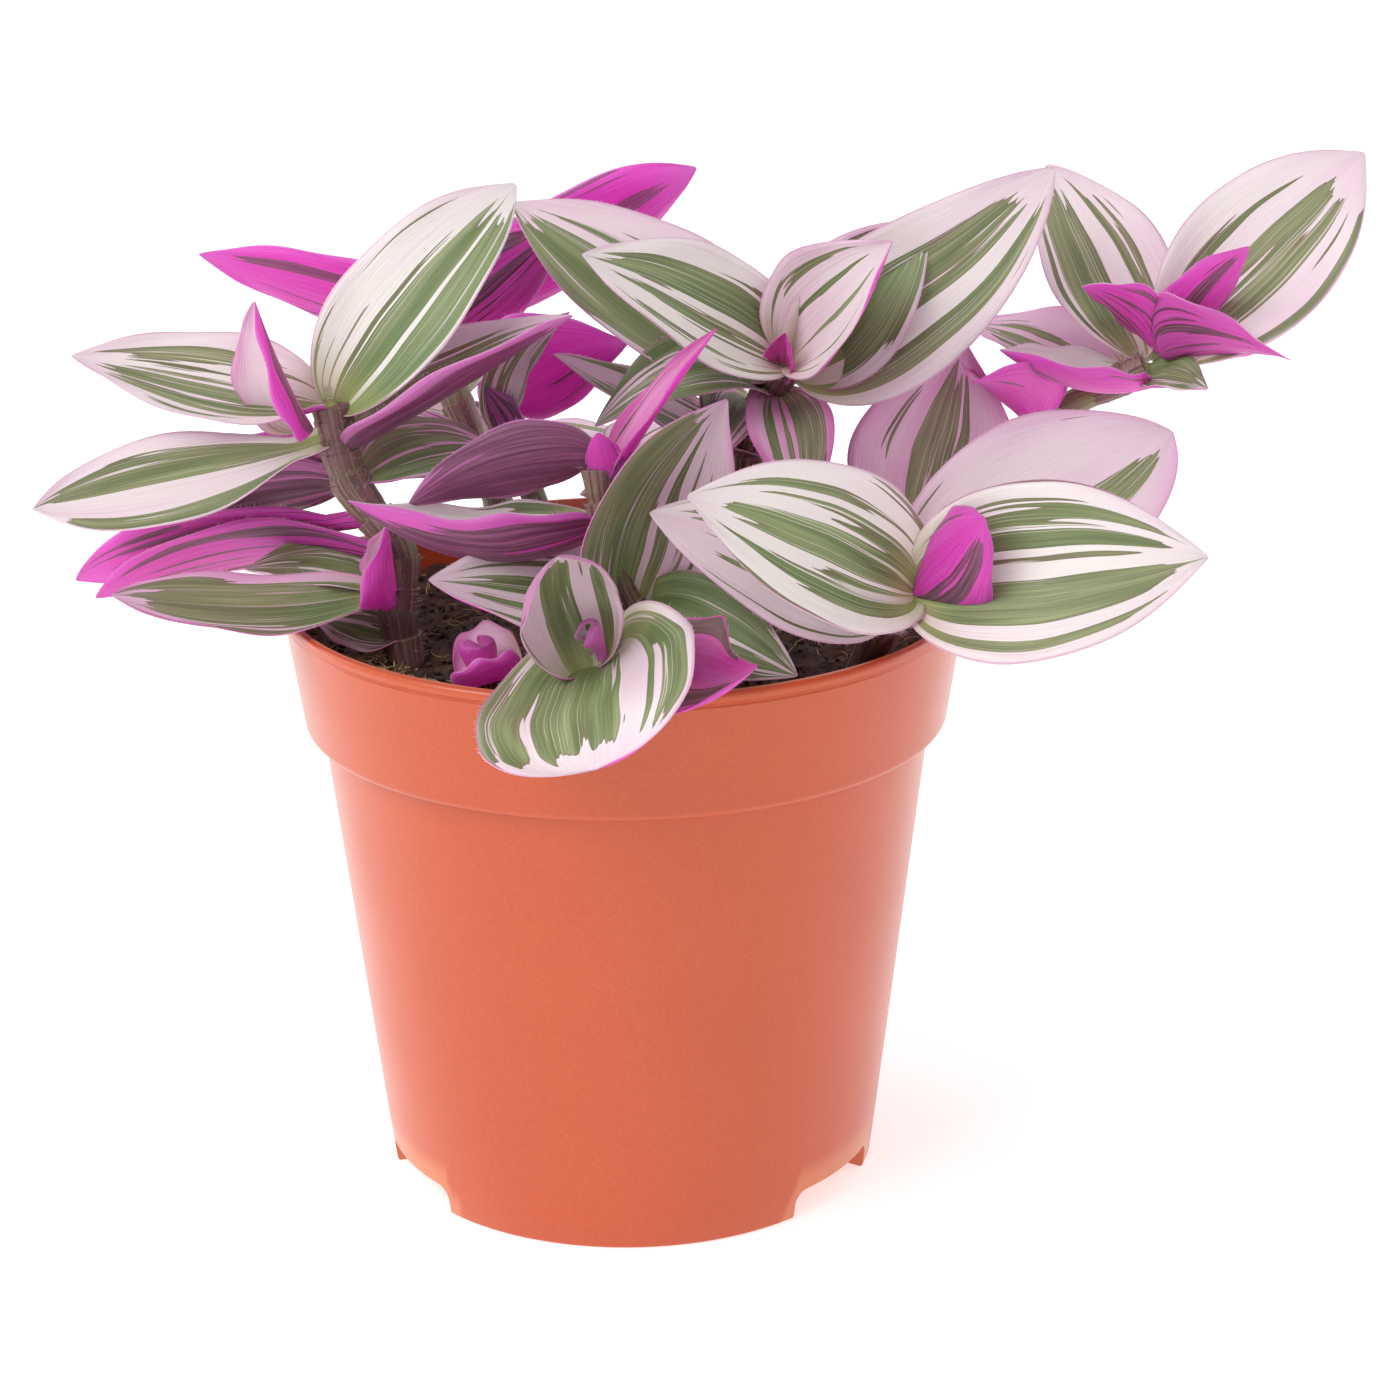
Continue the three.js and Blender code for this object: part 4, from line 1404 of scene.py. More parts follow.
    def make(self, leaf: Leaf, name: str, seed: float) -> Piece:
        """A copy of the sheet bent into a leaf, with its look stored on it.

        Args:
            leaf: the leaf.
            name: the copy's name.
            seed: a number from 0 to 1 that sets its stripes.

        Returns:
            The bent sheet.
        """
        sheet = copy_of(self.sheet, name)
        set_points(sheet, self.bent(leaf, self.across, self.along) * MM)
        paint(sheet, self.LOOK, [leaf.green, leaf.blush, leaf.vivid, seed])
        paint(sheet, self.BAND, [*leaf.band, *leaf.belt])
        return sheet

    def hairs(self, leaf: Leaf, rng: random.Random) -> list[Matrix]:
        """Places of the fine hairs along both margins, denser towards the base.

        Args:
            leaf: the leaf.
            rng: the seeded source of chance.

        Returns:
            A place for each hair, pointing out along its own Z.
        """
        count = int(leaf.length * self.HAIRS_PER_MM)
        u = np.array([0.02 + 0.93 * rng.random() ** 1.3 for _ in range(count)])
        side = np.array([rng.choice((-1.0, 1.0)) for _ in range(count)])
        places = []
        for place, inner, share in zip(self.bent(leaf, side, u), self.bent(leaf, side * 0.9, u), u):
            out = Vector(place - inner)
            out += Vector((rng.uniform(-1, 1), rng.uniform(-1, 1), rng.uniform(-0.6, 1))) * 0.55 * out.length
            reach = rng.uniform(0.4, 0.8) * (1.25 - 0.6 * share)
            turn = out.to_track_quat("Z", "Y")
            places.append(placed(Vector(place), turn, (self.HAIR_RADIUS, self.HAIR_RADIUS, reach)))
        return places


class TubeBlank:
    """A straight tube that is modelled once and bent into each stem and sheath."""

    SIDES = 20
    STEPS = 60

    def __init__(self) -> None:
        """Models the tube: an upright cylinder from 0 to 1, cut into steps."""
        self.tube = primitive(bpy.ops.mesh.primitive_cylinder_add, vertices=self.SIDES, radius=1.0,
                              depth=1.0, location=(0, 0, 0.5))
        cut_lengthwise(self.tube, self.STEPS - 1)
        straight = points_of(self.tube)
        self.ring = straight[:, :2]
        self.angle = np.arctan2(self.ring[:, 1], self.ring[:, 0])
        self.height = np.clip(straight[:, 2], 0, 1)

    def along(
        self, path: "StemPath", start: float, end: float, radius: Callable[[Rows, Rows], Rows], name: str
    ) -> Piece:
        """A copy of the tube laid along a stretch of a stem's path.

        Args:
            path: the stem's path.
            start: where the stretch starts, as a share of the path.
            end: where it ends.
            radius: gives radii in millimetres from the share of the stretch and the angle.
            name: the copy's name.

        Returns:
            The bent tube.
        """
        piece = copy_of(self.tube, name)
        shares = start + (end - start) * self.height
        rows, which = np.unique(np.round(shares, 6), return_inverse=True)
        centres, normals, binormals = (values[which] for values in path.frames(rows))
        ring = self.ring * radius(self.height, self.angle)[:, None]
        set_points(piece, (centres + normals * ring[:, :1] + binormals * ring[:, 1:]) * MM)
        paint(piece, SKIN, np.c_[self.ring, shares, np.ones(len(shares))])
        return piece


class StemPath:
    """A smooth path through a stem's points."""

    SAMPLES = 40  # points between two given ones

    def __init__(self, points: list[Point]) -> None:
        """Samples the path finely, by a centripetal Catmull-Rom curve.

        Args:
            points: the points that the stem passes, from the soil to its top.
        """
        given = [np.array(p, float) for p in points]
        ends = [2 * given[0] - given[1], *given, 2 * given[-1] - given[-2]]
        fine = [self.spot(four, i / self.SAMPLES)
                for four in zip(ends, ends[1:], ends[2:], ends[3:]) for i in range(self.SAMPLES)]
        self.fine = np.array([*fine, given[-1]])
        steps = np.linalg.norm(np.diff(self.fine, axis=0), axis=1)
        self.reach = np.concatenate([[0], np.cumsum(steps)])
        self.length = float(self.reach[-1])
        self.knots = np.array([self.nearest(p) for p in given[1:]])

    @staticmethod
    def spot(points: tuple[Rows, Rows, Rows, Rows], share: float) -> Rows:
        """One point of the curve between the second and the third of four given points.

        Args:
            points: the four points.
            share: the share of the way.

        Returns:
            The point.
        """
        times = [0.0]
        for a, b in zip(points, points[1:]):
            times.append(times[-1] + max(np.linalg.norm(b - a) ** 0.5, 1e-4))
        now = times[1] + (times[2] - times[1]) * share

        def between(a: Rows, b: Rows, low: int, high: int) -> Rows:
            """The point between two others that the curve has reached by now."""
            return ((times[high] - now) * a + (now - times[low]) * b) / (times[high] - times[low])

        outer = [between(points[i], points[i + 1], i, i + 1) for i in range(3)]
        inner = [between(outer[i], outer[i + 1], i, i + 2) for i in range(2)]
        return between(*inner, 1, 2)

    def at(self, shares: Rows) -> Rows:
        """Points at shares of the path's length."""
        wanted = np.asarray(shares) * self.length
        return np.stack([np.interp(wanted, self.reach, self.fine[:, k]) for k in range(3)], axis=-1)

    def nearest(self, point: Rows | Point) -> float:
        """The share of the path that lies nearest to a point."""
        which = int(np.argmin(np.linalg.norm(self.fine - np.asarray(point), axis=1)))
        return float(self.reach[which] / self.length)

    def frames(self, shares: Rows) -> tuple[Rows, Rows, Rows]:
        """Centres and two cross directions along the path, without twist.

        Args:
            shares: shares of the path's length, in order.

        Returns:
            Centres, normals and binormals, one row for each share.
        """
        tangents = self.at(np.minimum(shares + 0.01, 1)) - self.at(np.maximum(shares - 0.01, 0))
        tangents /= np.linalg.norm(tangents, axis=1)[:, None]
        side = np.array([1.0, 0.0, 0.0])
        normals = []
        for tangent in tangents:
            side = unit(side - tangent * (side @ tangent))
            normals.append(side)
        return self.at(shares), np.array(normals), np.cross(tangents, np.array(normals))


@dataclass
class Shoot:
    """A leafy shoot: a stem, its leaves, their sheaths and their hairs."""

    name: str
    stem: list[Point]
    radius: float
    leaves: list[Leaf]
    taper: float = 0.12
    swelling: float = 0.22
    ridge: float = 0.025
    sheath_length: float = 7.5
    sheath_hair_count: int = 46
    sheath_hair_radius: float = 0.032
    root_share: float = 0.2  # leaves lower on the stem than this have no sheath
    path: StemPath = field(init=False)

    def __post_init__(self) -> None:
        """Lays the stem's path."""
        self.path = StemPath(self.stem)

    def core(self, share: Rows | float) -> Rows | float:
        """The stem's radius at a share of its length, before its nodes swell."""
        return self.radius * (1 - self.taper * share)

    def stem_radius(self, share: Rows, angle: Rows) -> Rows:
        """The stem's radius: it tapers, swells at its nodes and closes at its blunt top.

        Args:
            share: shares of its length.
            angle: the way round at each of them.

        Returns:
            Radii in millimetres.
        """
        away = np.min(np.abs(share[:, None] - self.path.knots[None, :]), axis=1) * self.path.length
        swell = self.swelling * np.exp(-((away / self.radius) ** 2))
        ridges = self.ridge * np.sin(5 * angle + 9 * share)
        close = np.sqrt(np.clip((1.0 - share) * self.path.length / (2.2 * self.radius) + 0.03, 0.02, 1.0))
        return (self.core(share) + self.radius * (swell + ridges)) * close

    def sheath(self, tube: TubeBlank, leaf: Leaf, index: int) -> Piece:
        """The sleeve under one leaf, a little wider than the stem.

        Args:
            tube: the blank that it is bent from.
            leaf: the leaf whose base it carries.
            index: the leaf's number on the stem.

        Returns:
            The sleeve.
        """
        end = self.path.nearest(leaf.base)

        def radii(share: Rows, angle: Rows) -> Rows:
            """The sleeve's radius along and round it."""
            mouth = 0.5 * share ** 2 * (1 + 0.25 * np.sin(3 * angle + index))
            grown = 0.55 * np.clip(share * 2.5, 0, 1) - 0.25
            pleats = 0.06 * np.sin(9 * angle + index)
            return (self.core(end) + grown + mouth + pleats) * np.where(share > 0.995, 0.82, 1.0)

        start = max(end - self.sheath_length / self.path.length, 0.02)
        top = min(end + 0.6 / self.path.length, 0.985)
        return tube.along(self.path, start, top, radii, f"sheath_{self.name}_{index}")

    def sheath_hairs(self, leaf: Leaf, rng: random.Random) -> list[Matrix]:
        """Places of the hairs round a sleeve's mouth and down its side.

        Args:
            leaf: the leaf whose sleeve it is.
            rng: the seeded source of chance.

        Returns:
            A place for each hair.
        """
        end = self.path.nearest(leaf.base)
        thin = self.sheath_hair_radius
        places = []
        for _ in range(self.sheath_hair_count):
            share = max(end - abs(rng.gauss(0, 2.2)) / self.path.length, 0.02)
            centre, normal, binormal = (values[0] for values in self.path.frames(np.array([share])))
            angle = rng.random() * math.tau
            out = normal * math.cos(angle) + binormal * math.sin(angle)
            stray = Vector((rng.uniform(-0.4, 0.4), rng.uniform(-0.4, 0.4), rng.uniform(0.1, 0.9)))
            turn = (Vector(out) + stray).to_track_quat("Z", "Y")
            root = Vector(centre + out * (self.core(share) + 0.35))
            places.append(placed(root, turn, (thin, thin, rng.uniform(0.8, 1.8))))
        return places

    def build(self, kit: "ShootKit", axis: Vector, box: Box) -> None:
        """Args:
            kit: the blanks and finishes that all shoots share.
            axis: the place of the pot's axis.
            box: the lowest and highest corner, to which points that stand proud of them are drawn back.
        """
        rng = random.Random(self.name)
        sheets = [kit.leaf.make(leaf, f"{self.name}_{i}", rng.random()) for i, leaf in enumerate(self.leaves)]
        blades = joined(sheets, f"leaves_{self.name}")
        dress(blades, axis, kit.upper, kit.under, kit.margin)
        finish_modifier(
            blades, "SOLIDIFY", thickness=LeafBlank.THICKNESS * MM, offset=0.0, material_offset=1,
            material_offset_rim=2, vertex_group="thick", thickness_vertex_group=0.0)
        stem = kit.tube.along(self.path, 0.0, 1.0, self.stem_radius, f"stem_{self.name}")
        dress(stem, axis, kit.skin)
        pieces = [blades, stem]
        raised = [leaf for leaf in self.leaves if self.path.nearest(leaf.base) > self.root_share]
        if raised:
            sleeves = [self.sheath(kit.tube, leaf, i) for i, leaf in enumerate(raised)]
            pieces.append(joined(sleeves, f"sheaths_{self.name}"))
            dress(pieces[-1], axis, kit.sheath)
        places = [place for leaf in self.leaves for place in kit.leaf.hairs(leaf, rng)]
        places += [place for leaf in raised for place in self.sheath_hairs(leaf, rng)]
        pieces.append(scattered(kit.hair, places, f"hairs_{self.name}"))
        dress(pieces[-1], axis, kit.down)
        for piece in pieces:
            set_points(piece, np.clip(points_of(piece), *box))
            only(piece)
            bpy.ops.object.shade_smooth()
            hand_over(piece, Slot.FOLIAGE, *([f"shoot_{self.name}"] if piece in (blades, stem) else []))


class ShootKit:
    """The blanks and finishes that all shoots share."""

    def __init__(self) -> None:
        """Models the blanks and builds the finishes."""
        self.leaf, self.tube = LeafBlank(), TubeBlank()
        self.hair = primitive(bpy.ops.mesh.primitive_cone_add, vertices=3, radius1=1.0, radius2=0.15,
                              depth=1.0, location=(0, 0, 0.5))
        self.upper, self.under, self.margin = LeafUpper().build(), LeafUnder().build(), LeafMargin().build()
        self.skin, self.sheath, self.down = StemSkin().build(), Sheath().build(), Down().build()

    def clear(self) -> None:
        """Removes the blanks."""
        for blank in (self.leaf.sheet, self.tube.tube, self.hair):
            bpy.data.objects.remove(blank)


# Each shoot has the points that its stem passes and its leaves. A leaf runs from its base on the stem to
# its tip; face is the way its upper side looks, bow how far it arches, sway how far it bends sideways, cup
# how far its edges rise in degrees, via a point that pulls its midrib. Its look is the share of green, the
# blush of the pale parts, the vividness of the underside and the place and half-width of two green bands.
SHOOTS = [
    Shoot("left_front",
          [(-35, -14, 86), (-38, -14, 105), (-38, -12, 116), (-46, -10, 128), (-49, -10, 142)], 3, [
        Leaf((-48, -9, 140), (-18, 5, 176), 23, (-0.2, -0.9, 0.4), bow=0.1, cup=28, outline=(0.42, 0.62),
             blush=0.1, vivid=0.5, band=(0.05, 0.2), belt=(0.65, 0.3)),
        Leaf((-49, -10, 141), (-92, -12, 150), 21, (0.1, -0.6, 0.8), bow=-0.04, cup=34, sway=0.03,
             green=0.15, blush=0.2, vivid=0.5, band=(-0.3, 0.42)),
        Leaf((-52, -12.5, 138), (-59.6, -17, 160.5), 20, (-0.85, -0.65, 0.1), bow=0.05, cup=78,
             outline=(0.4, 0.75), green=0.12, band=(0.55, 0.15)),
        Leaf((-49, -12, 135), (-98, -22, 126), 18.5, (-0.1, -0.7, 0.7), bow=-0.03, cup=22, sway=-0.01,
             outline=(1.2, 0.8), green=0.45, blush=0.2, vivid=0.6, band=(0.35, 0.3), belt=(-0.75, 0.2)),
        Leaf((-47, -9, 127), (-89.4, 3, 112.8), 21, (0, 0.8, 0.6), bow=0.06, green=0.8, blush=0.4,
             vivid=0.3),
        Leaf((-43, -9, 120), (-98, 6, 105), 17, (0, 0.8, 0.6), bow=0.03, outline=(1.2, 0.7), green=0.42,
             blush=0.6, vivid=0.95),
        Leaf((-39, -11, 114), (-92.9, -2, 104.2), 15, (0, 0.75, 0.7), bow=0.1, outline=(0.8, 0.7),
             green=0.38, vivid=0.9),
        Leaf((-38, -15, 110), (-81, -42, 117), 17, (-0.1, -0.5, 0.9), bow=-0.07, sway=-0.02,
             outline=(0.7, 0.6), green=0.72, vivid=0.5, band=(-0.05, 0.55)),
        Leaf((-38, -17, 108), (-38.5, -20, 123.2), 24, (-1, -0.1, 0.05), cup=75, outline=(0.7, 0.7),
             green=0.05, blush=0.6),
        Leaf((-39, -11, 108.5), (-65.2, -8, 111.4), 16, (0, -0.3, 0.9), bow=0.12, cup=20, green=1,
             blush=0, vivid=0.2),
        Leaf((-46, -9, 133), (-8, -3, 155), 25, (0, -0.12, 1), cup=75, via=(-33, -11, 141),
             outline=(0.5, 0.6), green=0.7, blush=0.4, vivid=0.3, band=(0.5, 0.4)),
        Leaf((-45, -8, 127), (-22, 3, 130), 16, (0, -0.5, 0.8), bow=0.15, green=0.8, blush=0.6,
             vivid=0.4),
        Leaf((-37, -14, 101), (-53, -10, 103), 14, (0, -0.6, 0.8), bow=0.1, green=0.7, blush=0.4,
             vivid=0.4),
        Leaf((-45, -6, 129), (-86, 4, 119), 18, (0, 0.85, 0.5), bow=0.05, green=0.25),
    ]),
    Shoot("back_left", [(-18, 22, 86), (-24, 26, 112), (-32, 30, 132), (-38, 34, 146)], 2.6, [
        Leaf((-36, 33, 146), (-79, 38, 157), 17, (0, 0.85, 0.5), bow=-0.02, green=0.15, blush=0.4,
             band=(-0.5, 0.18)),
        Leaf((-36, 33, 143), (-13, 32, 163), 18, (0.3, 0.8, 0.5), bow=0.05, green=0.2, vivid=0.95,
             band=(0, 0.14), belt=(0.6, 0.25)),
        Leaf((-36, 34, 145), (11, 42, 172), 21, (-0.3, 0.9, 0.4), bow=-0.02, cup=30, outline=(0.6, 0.6),
             green=0.2, blush=0.2, band=(0.15, 0.25)),
        Leaf((-28, 28, 124), (-62, 60, 120), 22, (0, 0.3, 0.95), bow=0.1, blush=0.3, vivid=0.8),
        Leaf((-33, 32, 130), (-40, 76, 120), 22, (0, 0.2, 0.95), bow=0.15, green=0.6, blush=0.3,
             vivid=0.6),
    ]),
    Shoot("centre_back", [(-8, 8, 86), (-14, 9, 112), (-22, 11, 134)], 2.4, [
        Leaf((-22, 11, 136), (0, 16, 146), 28, (0, 0.9, 0.45), bow=0.05, cup=40, green=0.05, blush=0.6),
        Leaf((-22.2, 10, 130.6), (-9, 4, 154.1), 10, (0.6, -0.7, 0.5), cup=40, via=(-25.5, 7, 146),
             green=0.65, blush=0.45, vivid=0.5),
        Leaf((-20, 10, 126), (-25.2, 6, 141.2), 11, (0.3, 0.8, 0.3), cup=70, green=0.6, vivid=0.45),
    ]),
    Shoot("centre_top", [(22, 34, 86), (20, 30, 112), (22, 22, 130), (28, 13, 143)], 2.8, [
        Leaf((28, 13, 143), (-6, -5, 166), 24, (0, -0.7, 0.7), bow=0.06, cup=22, green=0.45, blush=0.12,
             vivid=0.6, band=(0.35, 0.25)),
        Leaf((25, 18, 139), (-21, 30, 168), 27, (0.1, -0.7, 0.7), bow=0.1, cup=22, sway=-0.07, green=0.62,
             blush=0.3, vivid=0.5, band=(-0.4, 0.55)),
        Leaf((29, 11, 142), (74, 20, 176), 28, (0.2, -0.9, 0.4), bow=0.04, cup=22, sway=0.09,
             outline=(0.38, 0.75), green=0.28, blush=0.22, vivid=0.6, band=(-0.08, 0.36),
             belt=(0.62, 0.14)),
        Leaf((28, 11, 144), (46, -4, 168), 26, (-0.6, -0.7, 0.3), cup=55, green=0.38, blush=0.36,
             vivid=0.8),
        Leaf((28, 10, 143), (28, 2, 151), 8, (-0.2, -0.7, 0.3), cup=80, green=0.2, blush=1),
        Leaf((30, 14, 141), (52.2, 17, 168), 24, (0.1, -0.8, 0.5), bow=0.1, cup=22, outline=(0.5, 0.8),
             green=0.8, blush=0.25, vivid=0.7, band=(0.2, 0.5)),
        Leaf((26, 16, 137), (31, -6, 121), 16, (0.2, -0.8, 0.4), bow=0.12, blush=0.7, vivid=0.8,
             band=(-0.5, 0.4)),
        Leaf((22, 24, 133), (16, 4, 128), 17, (0, -0.6, 0.8), bow=0.2, cup=40, green=0.85, blush=0.6,
             vivid=0.5),
        Leaf((24, 19, 135), (-5, 4, 134), 16, (0, -0.6, 0.8), bow=0.35, green=0.9, vivid=0.4),
        Leaf((21, 25, 124), (-12, 3, 147), 12, (0, -0.6, 0.8), green=0.7, vivid=0.6),
    ]),
    Shoot("right_back", [(40, 18, 86), (50, 22, 110), (72, 22, 130), (92, 21, 141)], 2.6, [
        Leaf((93, 21, 141), (129, 35, 176), 28, (-0.1, -0.9, 0.4), bow=0.06, cup=20, outline=(0.7, 0.7),
             green=0.08, blush=0.22, vivid=0.7, band=(0.15, 0.32), belt=(0.88, 0.1)),
        Leaf((91, 23, 141), (74, 45, 172), 24, (0.2, -0.8, 0.5), bow=0.06, cup=20, outline=(0.5, 0.7),
             green=0.3, blush=0.25, vivid=0.7, band=(-0.35, 0.4)),
        Leaf((94, 20, 143), (107, 12, 164), 15, (-0.3, 0.8, 0.3), cup=60, green=0.25, blush=1,
             band=(0.3, 0.2)),
        Leaf((93.5, 19, 143), (114, 4, 146.1), 24, (0, 0.75, 0.65), bow=0.1, cup=40, outline=(0.4, 1.6),
             green=0.4, blush=0.3, vivid=0.75),
        Leaf((93, 19, 144), (79, 14, 156.5), 13, (0.1, 0.6, 0.75), bow=0.14, cup=35, outline=(0.5, 0.8),
             green=0.3, blush=0.2),
        Leaf((91, 19, 137.5), (64.8, 8, 146.7), 21, (0, -0.05, 1), bow=-0.1, cup=68, outline=(0.5, 0.7),
             green=0.35, blush=0.25, vivid=0.95),
        Leaf((87, 22, 138), (61, 40, 144), 18, (0, -0.4, 0.9), bow=0.08, cup=20, vivid=0.6),
        Leaf((72, 21, 129.5), (60, 2, 142.5), 22, (0.3, 0.7, 0.5), bow=0.1, cup=60, outline=(0.5, 0.5),
             green=0.35, blush=0.9),
        Leaf((50, 21, 111), (59, 22, 145), 33, (0.1, -0.95, 0.2), bow=0.05, outline=(0.5, 0.6),
             green=0.06, blush=0.55, vivid=0.9, band=(0.1, 0.34)),
        Leaf((62, 22, 120), (80, 62, 116), 22, (0, 0.3, 0.95), bow=0.1, blush=0.3, vivid=0.7),
        Leaf((90, 20, 138), (100.8, 11, 139.2), 11.5, (0.1, -0.5, 0.85), bow=0.12, cup=30,
             outline=(0.6, 0.5), green=1, blush=0.2, vivid=0.5),
    ]),
    Shoot("right_front", [(38, -12, 86), (44, -26, 106), (50, -37, 117)], 2.8, [
        Leaf((50, -37, 117), (96, -50, 127), 31, (0.1, -0.85, 0.5), bow=0.1, cup=22, sway=0.03,
             outline=(0.5, 0.62), green=0.34, blush=0.14, vivid=0.7, band=(0.3, 0.28), belt=(-0.38, 0.1)),
        Leaf((50, -37, 117), (14, -55, 138), 27, (-0.1, -0.8, 0.55), bow=0.1, cup=22, outline=(0.5, 0.65),
             green=0.36, blush=0.1, vivid=0.7, band=(0.08, 0.16)),
        Leaf((50, -38, 117), (60.6, -53, 134), 21, (0.88, 0.48, 0.1), cup=55, outline=(0.5, 0.75),
             green=0.2, blush=0.8, band=(-0.4, 0.3)),
        Leaf((47, -31, 113), (94.1, 0, 134.4), 32, (0.1, -0.75, 0.65), bow=0.12, cup=22, sway=0.05,
             outline=(0.6, 0.7), green=0.2, blush=0.4, vivid=0.8, band=(0.3, 0.25)),
        Leaf((46, -29, 111), (7, -40, 131), 24, (-0.1, -0.8, 0.55), bow=0.1, cup=22, blush=0.28,
             vivid=0.7, band=(0.4, 0.2)),
    ]),
    Shoot("front_over_rim", [(2, -26, 86), (1, -38, 106), (-1, -51, 112)], 2.8, [
        Leaf((0.5, -48, 109.5), (1, -83, 102.4), 39, (-0.4, -0.75, 0.8), cup=22, via=(-0.6, -74, 111.3),
             outline=(0.38, 0.32), green=0.3, blush=0.3, vivid=0.9, band=(0.36, 0.62),
             belt=(-0.62, 0.13)),
        Leaf((-2.8, -54.3, 108.2), (-5.9, -65.7, 131.1), 22.5, (0.35, -0.9, 0.15), bow=-0.24, cup=70,
             outline=(0.19, 0.25), green=0.28, blush=0.34, vivid=0.1, band=(0, 0.34), belt=(0.7, 0.12)),
        Leaf((0.5, -54, 112), (-0.5, -58, 118.5), 10, (-0.6, -0.7, 0.3), cup=150, outline=(0.8, 0.2),
             green=0.1, blush=0.45, vivid=0.5),
        Leaf((4, -47, 110), (25.1, -64, 113), 27, (0, -0.55, 0.85), cup=35, via=(15, -65, 105.5),
             outline=(0.5, 0.5), green=0.25, blush=0.92, belt=(-0.85, 0.15)),
    ]),
    Shoot("rolled_up",
          [(-21, -32, 86), (-20.7, -35, 93), (-20.5, -37.3, 98.5), (-20.5, -38.2, 101)], 2.2, [
        Leaf((-14.2, -37.6, 103.4), (-25.2, -38.7, 100.2), 26.4, (0.14, 0.03, 0.8), bow=0.01, cup=62,
             outline=(0.35, 0.28), green=0, blush=0.62, vivid=0.8),
        Leaf((-20, -38, 99.5), (-20.6, -39.6, 107.8), 16, (-0.5, 0.8, 0.4), cup=155, outline=(0.9, 0.15),
             green=0, blush=0.8, vivid=0.9),
    ]),
    Shoot("centre_front", [(6, -18, 86), (4, -28, 108), (0, -30, 120), (-2, -28, 136)], 2.6, [
        Leaf((3, -29, 111), (19, -25, 146), 33, (0.5, -0.85, 0.1), bow=0.05, cup=50, sway=-0.25,
             outline=(0.45, 0.7), blush=0.4, vivid=0.8, band=(-0.55, 0.48)),
        Leaf((-2.3, -28, 128.9), (17.4, -24, 157.7), 9, (-0.85, -0.5, 0.3), bow=0.03, cup=80, green=0.35,
             blush=0.78),
        Leaf((-0.9, -29, 129), (-1.7, -32, 142.2), 9, (0.3, 0.8, 0.3), cup=60, outline=(0.9, 0.7),
             green=0.2, blush=0.3),
        Leaf((-1, -29, 125), (-43.2, -32, 130.5), 28, (0, 0.16, 1), bow=-0.17, cup=82,
             outline=(0.45, 0.7), green=0.78, blush=0.2, vivid=0.8),
        Leaf((-2, -27, 136.5), (-34.1, -26, 128.1), 15.5, (0, 0.9, 0.35), bow=-0.02, cup=35, sway=-0.16,
             outline=(0.5, 0.9), green=0.9, vivid=0.3),
        Leaf((3, -29, 112), (-29, -42, 120), 23, (0, -0.6, 0.8), bow=-0.03, cup=40, blush=0.35),
        Leaf((4, -28, 111), (31, -45, 105), 18, (0.1, -0.8, 0.5), bow=0.1, cup=20, green=0.9, blush=0.2,
             vivid=0.6),
    ]),
    Shoot("back", [(-2, 34, 86), (-2, 44, 104), (-4, 54, 113)], 2.6, [
        Leaf((-4, 53, 112), (-38, 82, 110), 24, (0, 0.3, 0.95), bow=0.12, green=0.6, blush=0.35,
             vivid=0.8),
        Leaf((-4, 53, 112), (26, 90, 112), 25, (0, 0.3, 0.95), bow=0.12, green=0.6, vivid=0.8),
    ]),
]


# ---------------------------------------------------------------- the studio


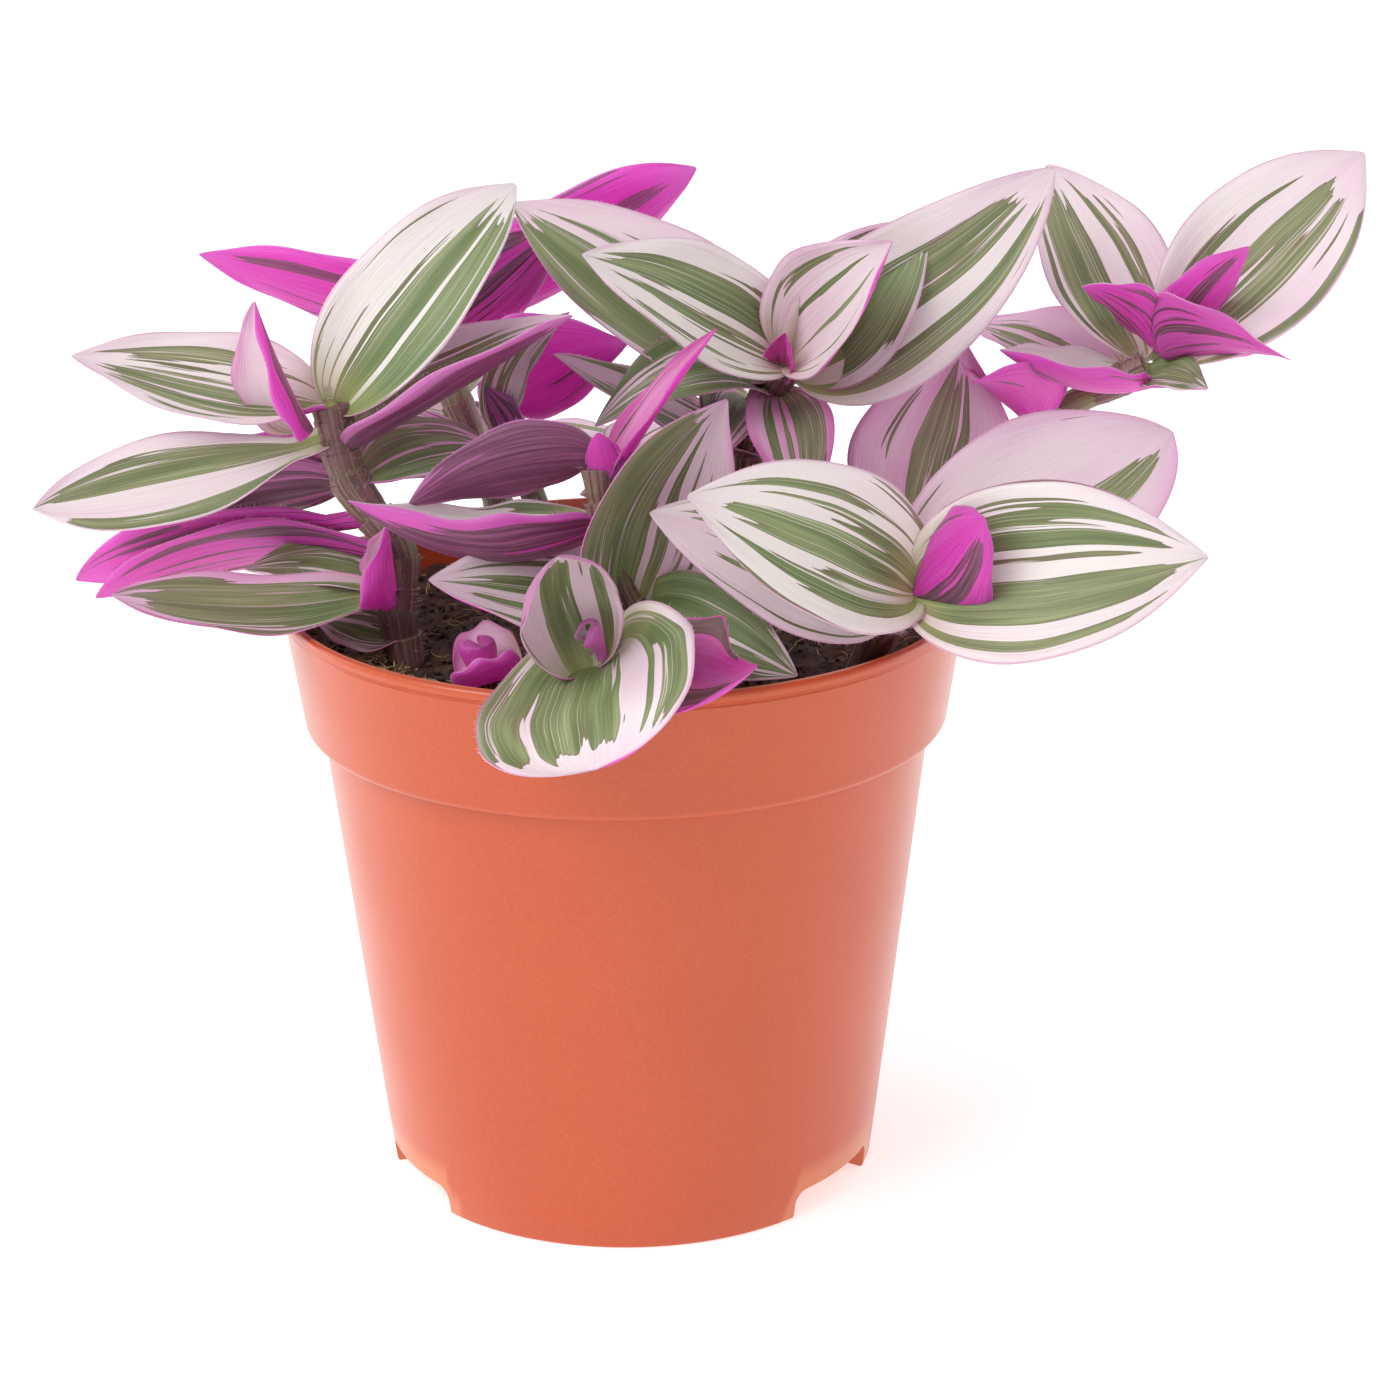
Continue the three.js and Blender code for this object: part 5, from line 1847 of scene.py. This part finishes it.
@dataclass
class Studio:
    """A pale floor, soft light all round and a camera at the photograph's viewing angle."""

    axis: Vector
    eye: Point = (41.87, -595.58, 289.03)
    yaw: float = -0.0485
    pitch: float = 0.3291
    roll: float = -0.0085
    lens: float = 91.91
    sensor: float = 36.0
    near: float = 0.01
    floor_size: float = 12.0
    sky: float = 0.62
    aim_height: float = 0.1
    lamps: tuple[tuple[str, Point, float, float], ...] = (
        ("key", (-1.0, -0.9, 1.3), 1.1, 16.0),
        ("left_edge", (-1.3, 0.7, 0.5), 1.0, 7.0),
        ("right_edge", (1.3, 0.7, 0.5), 1.0, 5.0),
    )  # each with its place in metres from the foot of the pot, its side in metres and its watts

    def __post_init__(self) -> None:
        """Finds the foot of the pot."""
        self.foot = Vector((self.axis.x, self.axis.y, 0))

    def floor(self) -> None:
        """Lays the floor."""
        plane = primitive(bpy.ops.mesh.primitive_plane_add, size=self.floor_size, location=self.foot)
        plane.name = "studio_floor"
        plane.data.materials.append(PaleFloor().build())
        plane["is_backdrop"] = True

    def world(self) -> None:
        """Lights everything evenly from all sides."""
        world = bpy.data.worlds.new("studio")
        world.use_nodes = True
        background = world.node_tree.nodes["Background"]
        background.inputs["Color"].default_value = PaleFloor.white
        background.inputs["Strength"].default_value = self.sky
        bpy.context.scene.world = world

    def lamp(self, name: str, place: Point, size: float, power: float) -> None:
        """A large square lamp that points at the plant.

        Args:
            name: the lamp's name.
            place: where it stands, in metres from the foot of the pot.
            size: its side in metres.
            power: its power in watts.
        """
        light = bpy.data.lights.new(name, "AREA")
        light.size = size
        light.energy = power
        lamp = bpy.data.objects.new(name, light)
        lamp.location = Vector(place) + self.foot
        aim = self.foot + Vector((0, 0, self.aim_height)) - lamp.location
        lamp.rotation_euler = aim.to_track_quat("-Z", "Y").to_euler()
        bpy.context.scene.collection.objects.link(lamp)

    def camera(self) -> None:
        """Sets the camera."""
        level = math.cos(self.pitch)
        ahead = Vector((math.sin(self.yaw) * level, math.cos(self.yaw) * level, -math.sin(self.pitch)))
        right = Vector((math.cos(self.yaw), -math.sin(self.yaw), 0.0))
        up = right.cross(ahead)
        turned_right = right * math.cos(self.roll) + up * math.sin(self.roll)
        turned_up = up * math.cos(self.roll) - right * math.sin(self.roll)
        data = bpy.data.cameras.new("photo_view")
        data.sensor_width = self.sensor
        data.lens = self.lens
        data.clip_start = self.near
        camera = bpy.data.objects.new("photo_view", data)
        turn = Matrix((turned_right, turned_up, -ahead)).transposed().to_4x4()
        camera.matrix_world = Matrix.Translation(self.foot + Vector(self.eye) * MM) @ turn
        bpy.context.scene.collection.objects.link(camera)
        bpy.context.scene.camera = camera

    def build(self) -> None:
        """Sets up the studio."""
        self.camera()
        self.floor()
        self.world()
        for lamp in self.lamps:
            self.lamp(*lamp)
        bpy.context.scene.view_settings.view_transform = "Standard"


def main() -> None:
    """Builds the studio, the pot, the soil and the shoots in turn."""
    logging.basicConfig(level=logging.INFO, format="%(name)s: %(message)s")
    frame_box = [list(corner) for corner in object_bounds()]
    low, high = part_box("pot")
    axis = Vector(((low.x + high.x) / 2, (low.y + high.y) / 2, low.z))
    Studio(axis).build()
    pot = Pot(axis)
    pot.build(PotPlastic().build())
    PeatBed(axis, pot).build(Peat().build(), Fibre().build())
    kit = ShootKit()
    for shoot in SHOOTS:
        shoot.build(kit, axis, frame_box)
    kit.clear()
    bpy.context.view_layer.update()


if __name__ == "__main__":
    main()
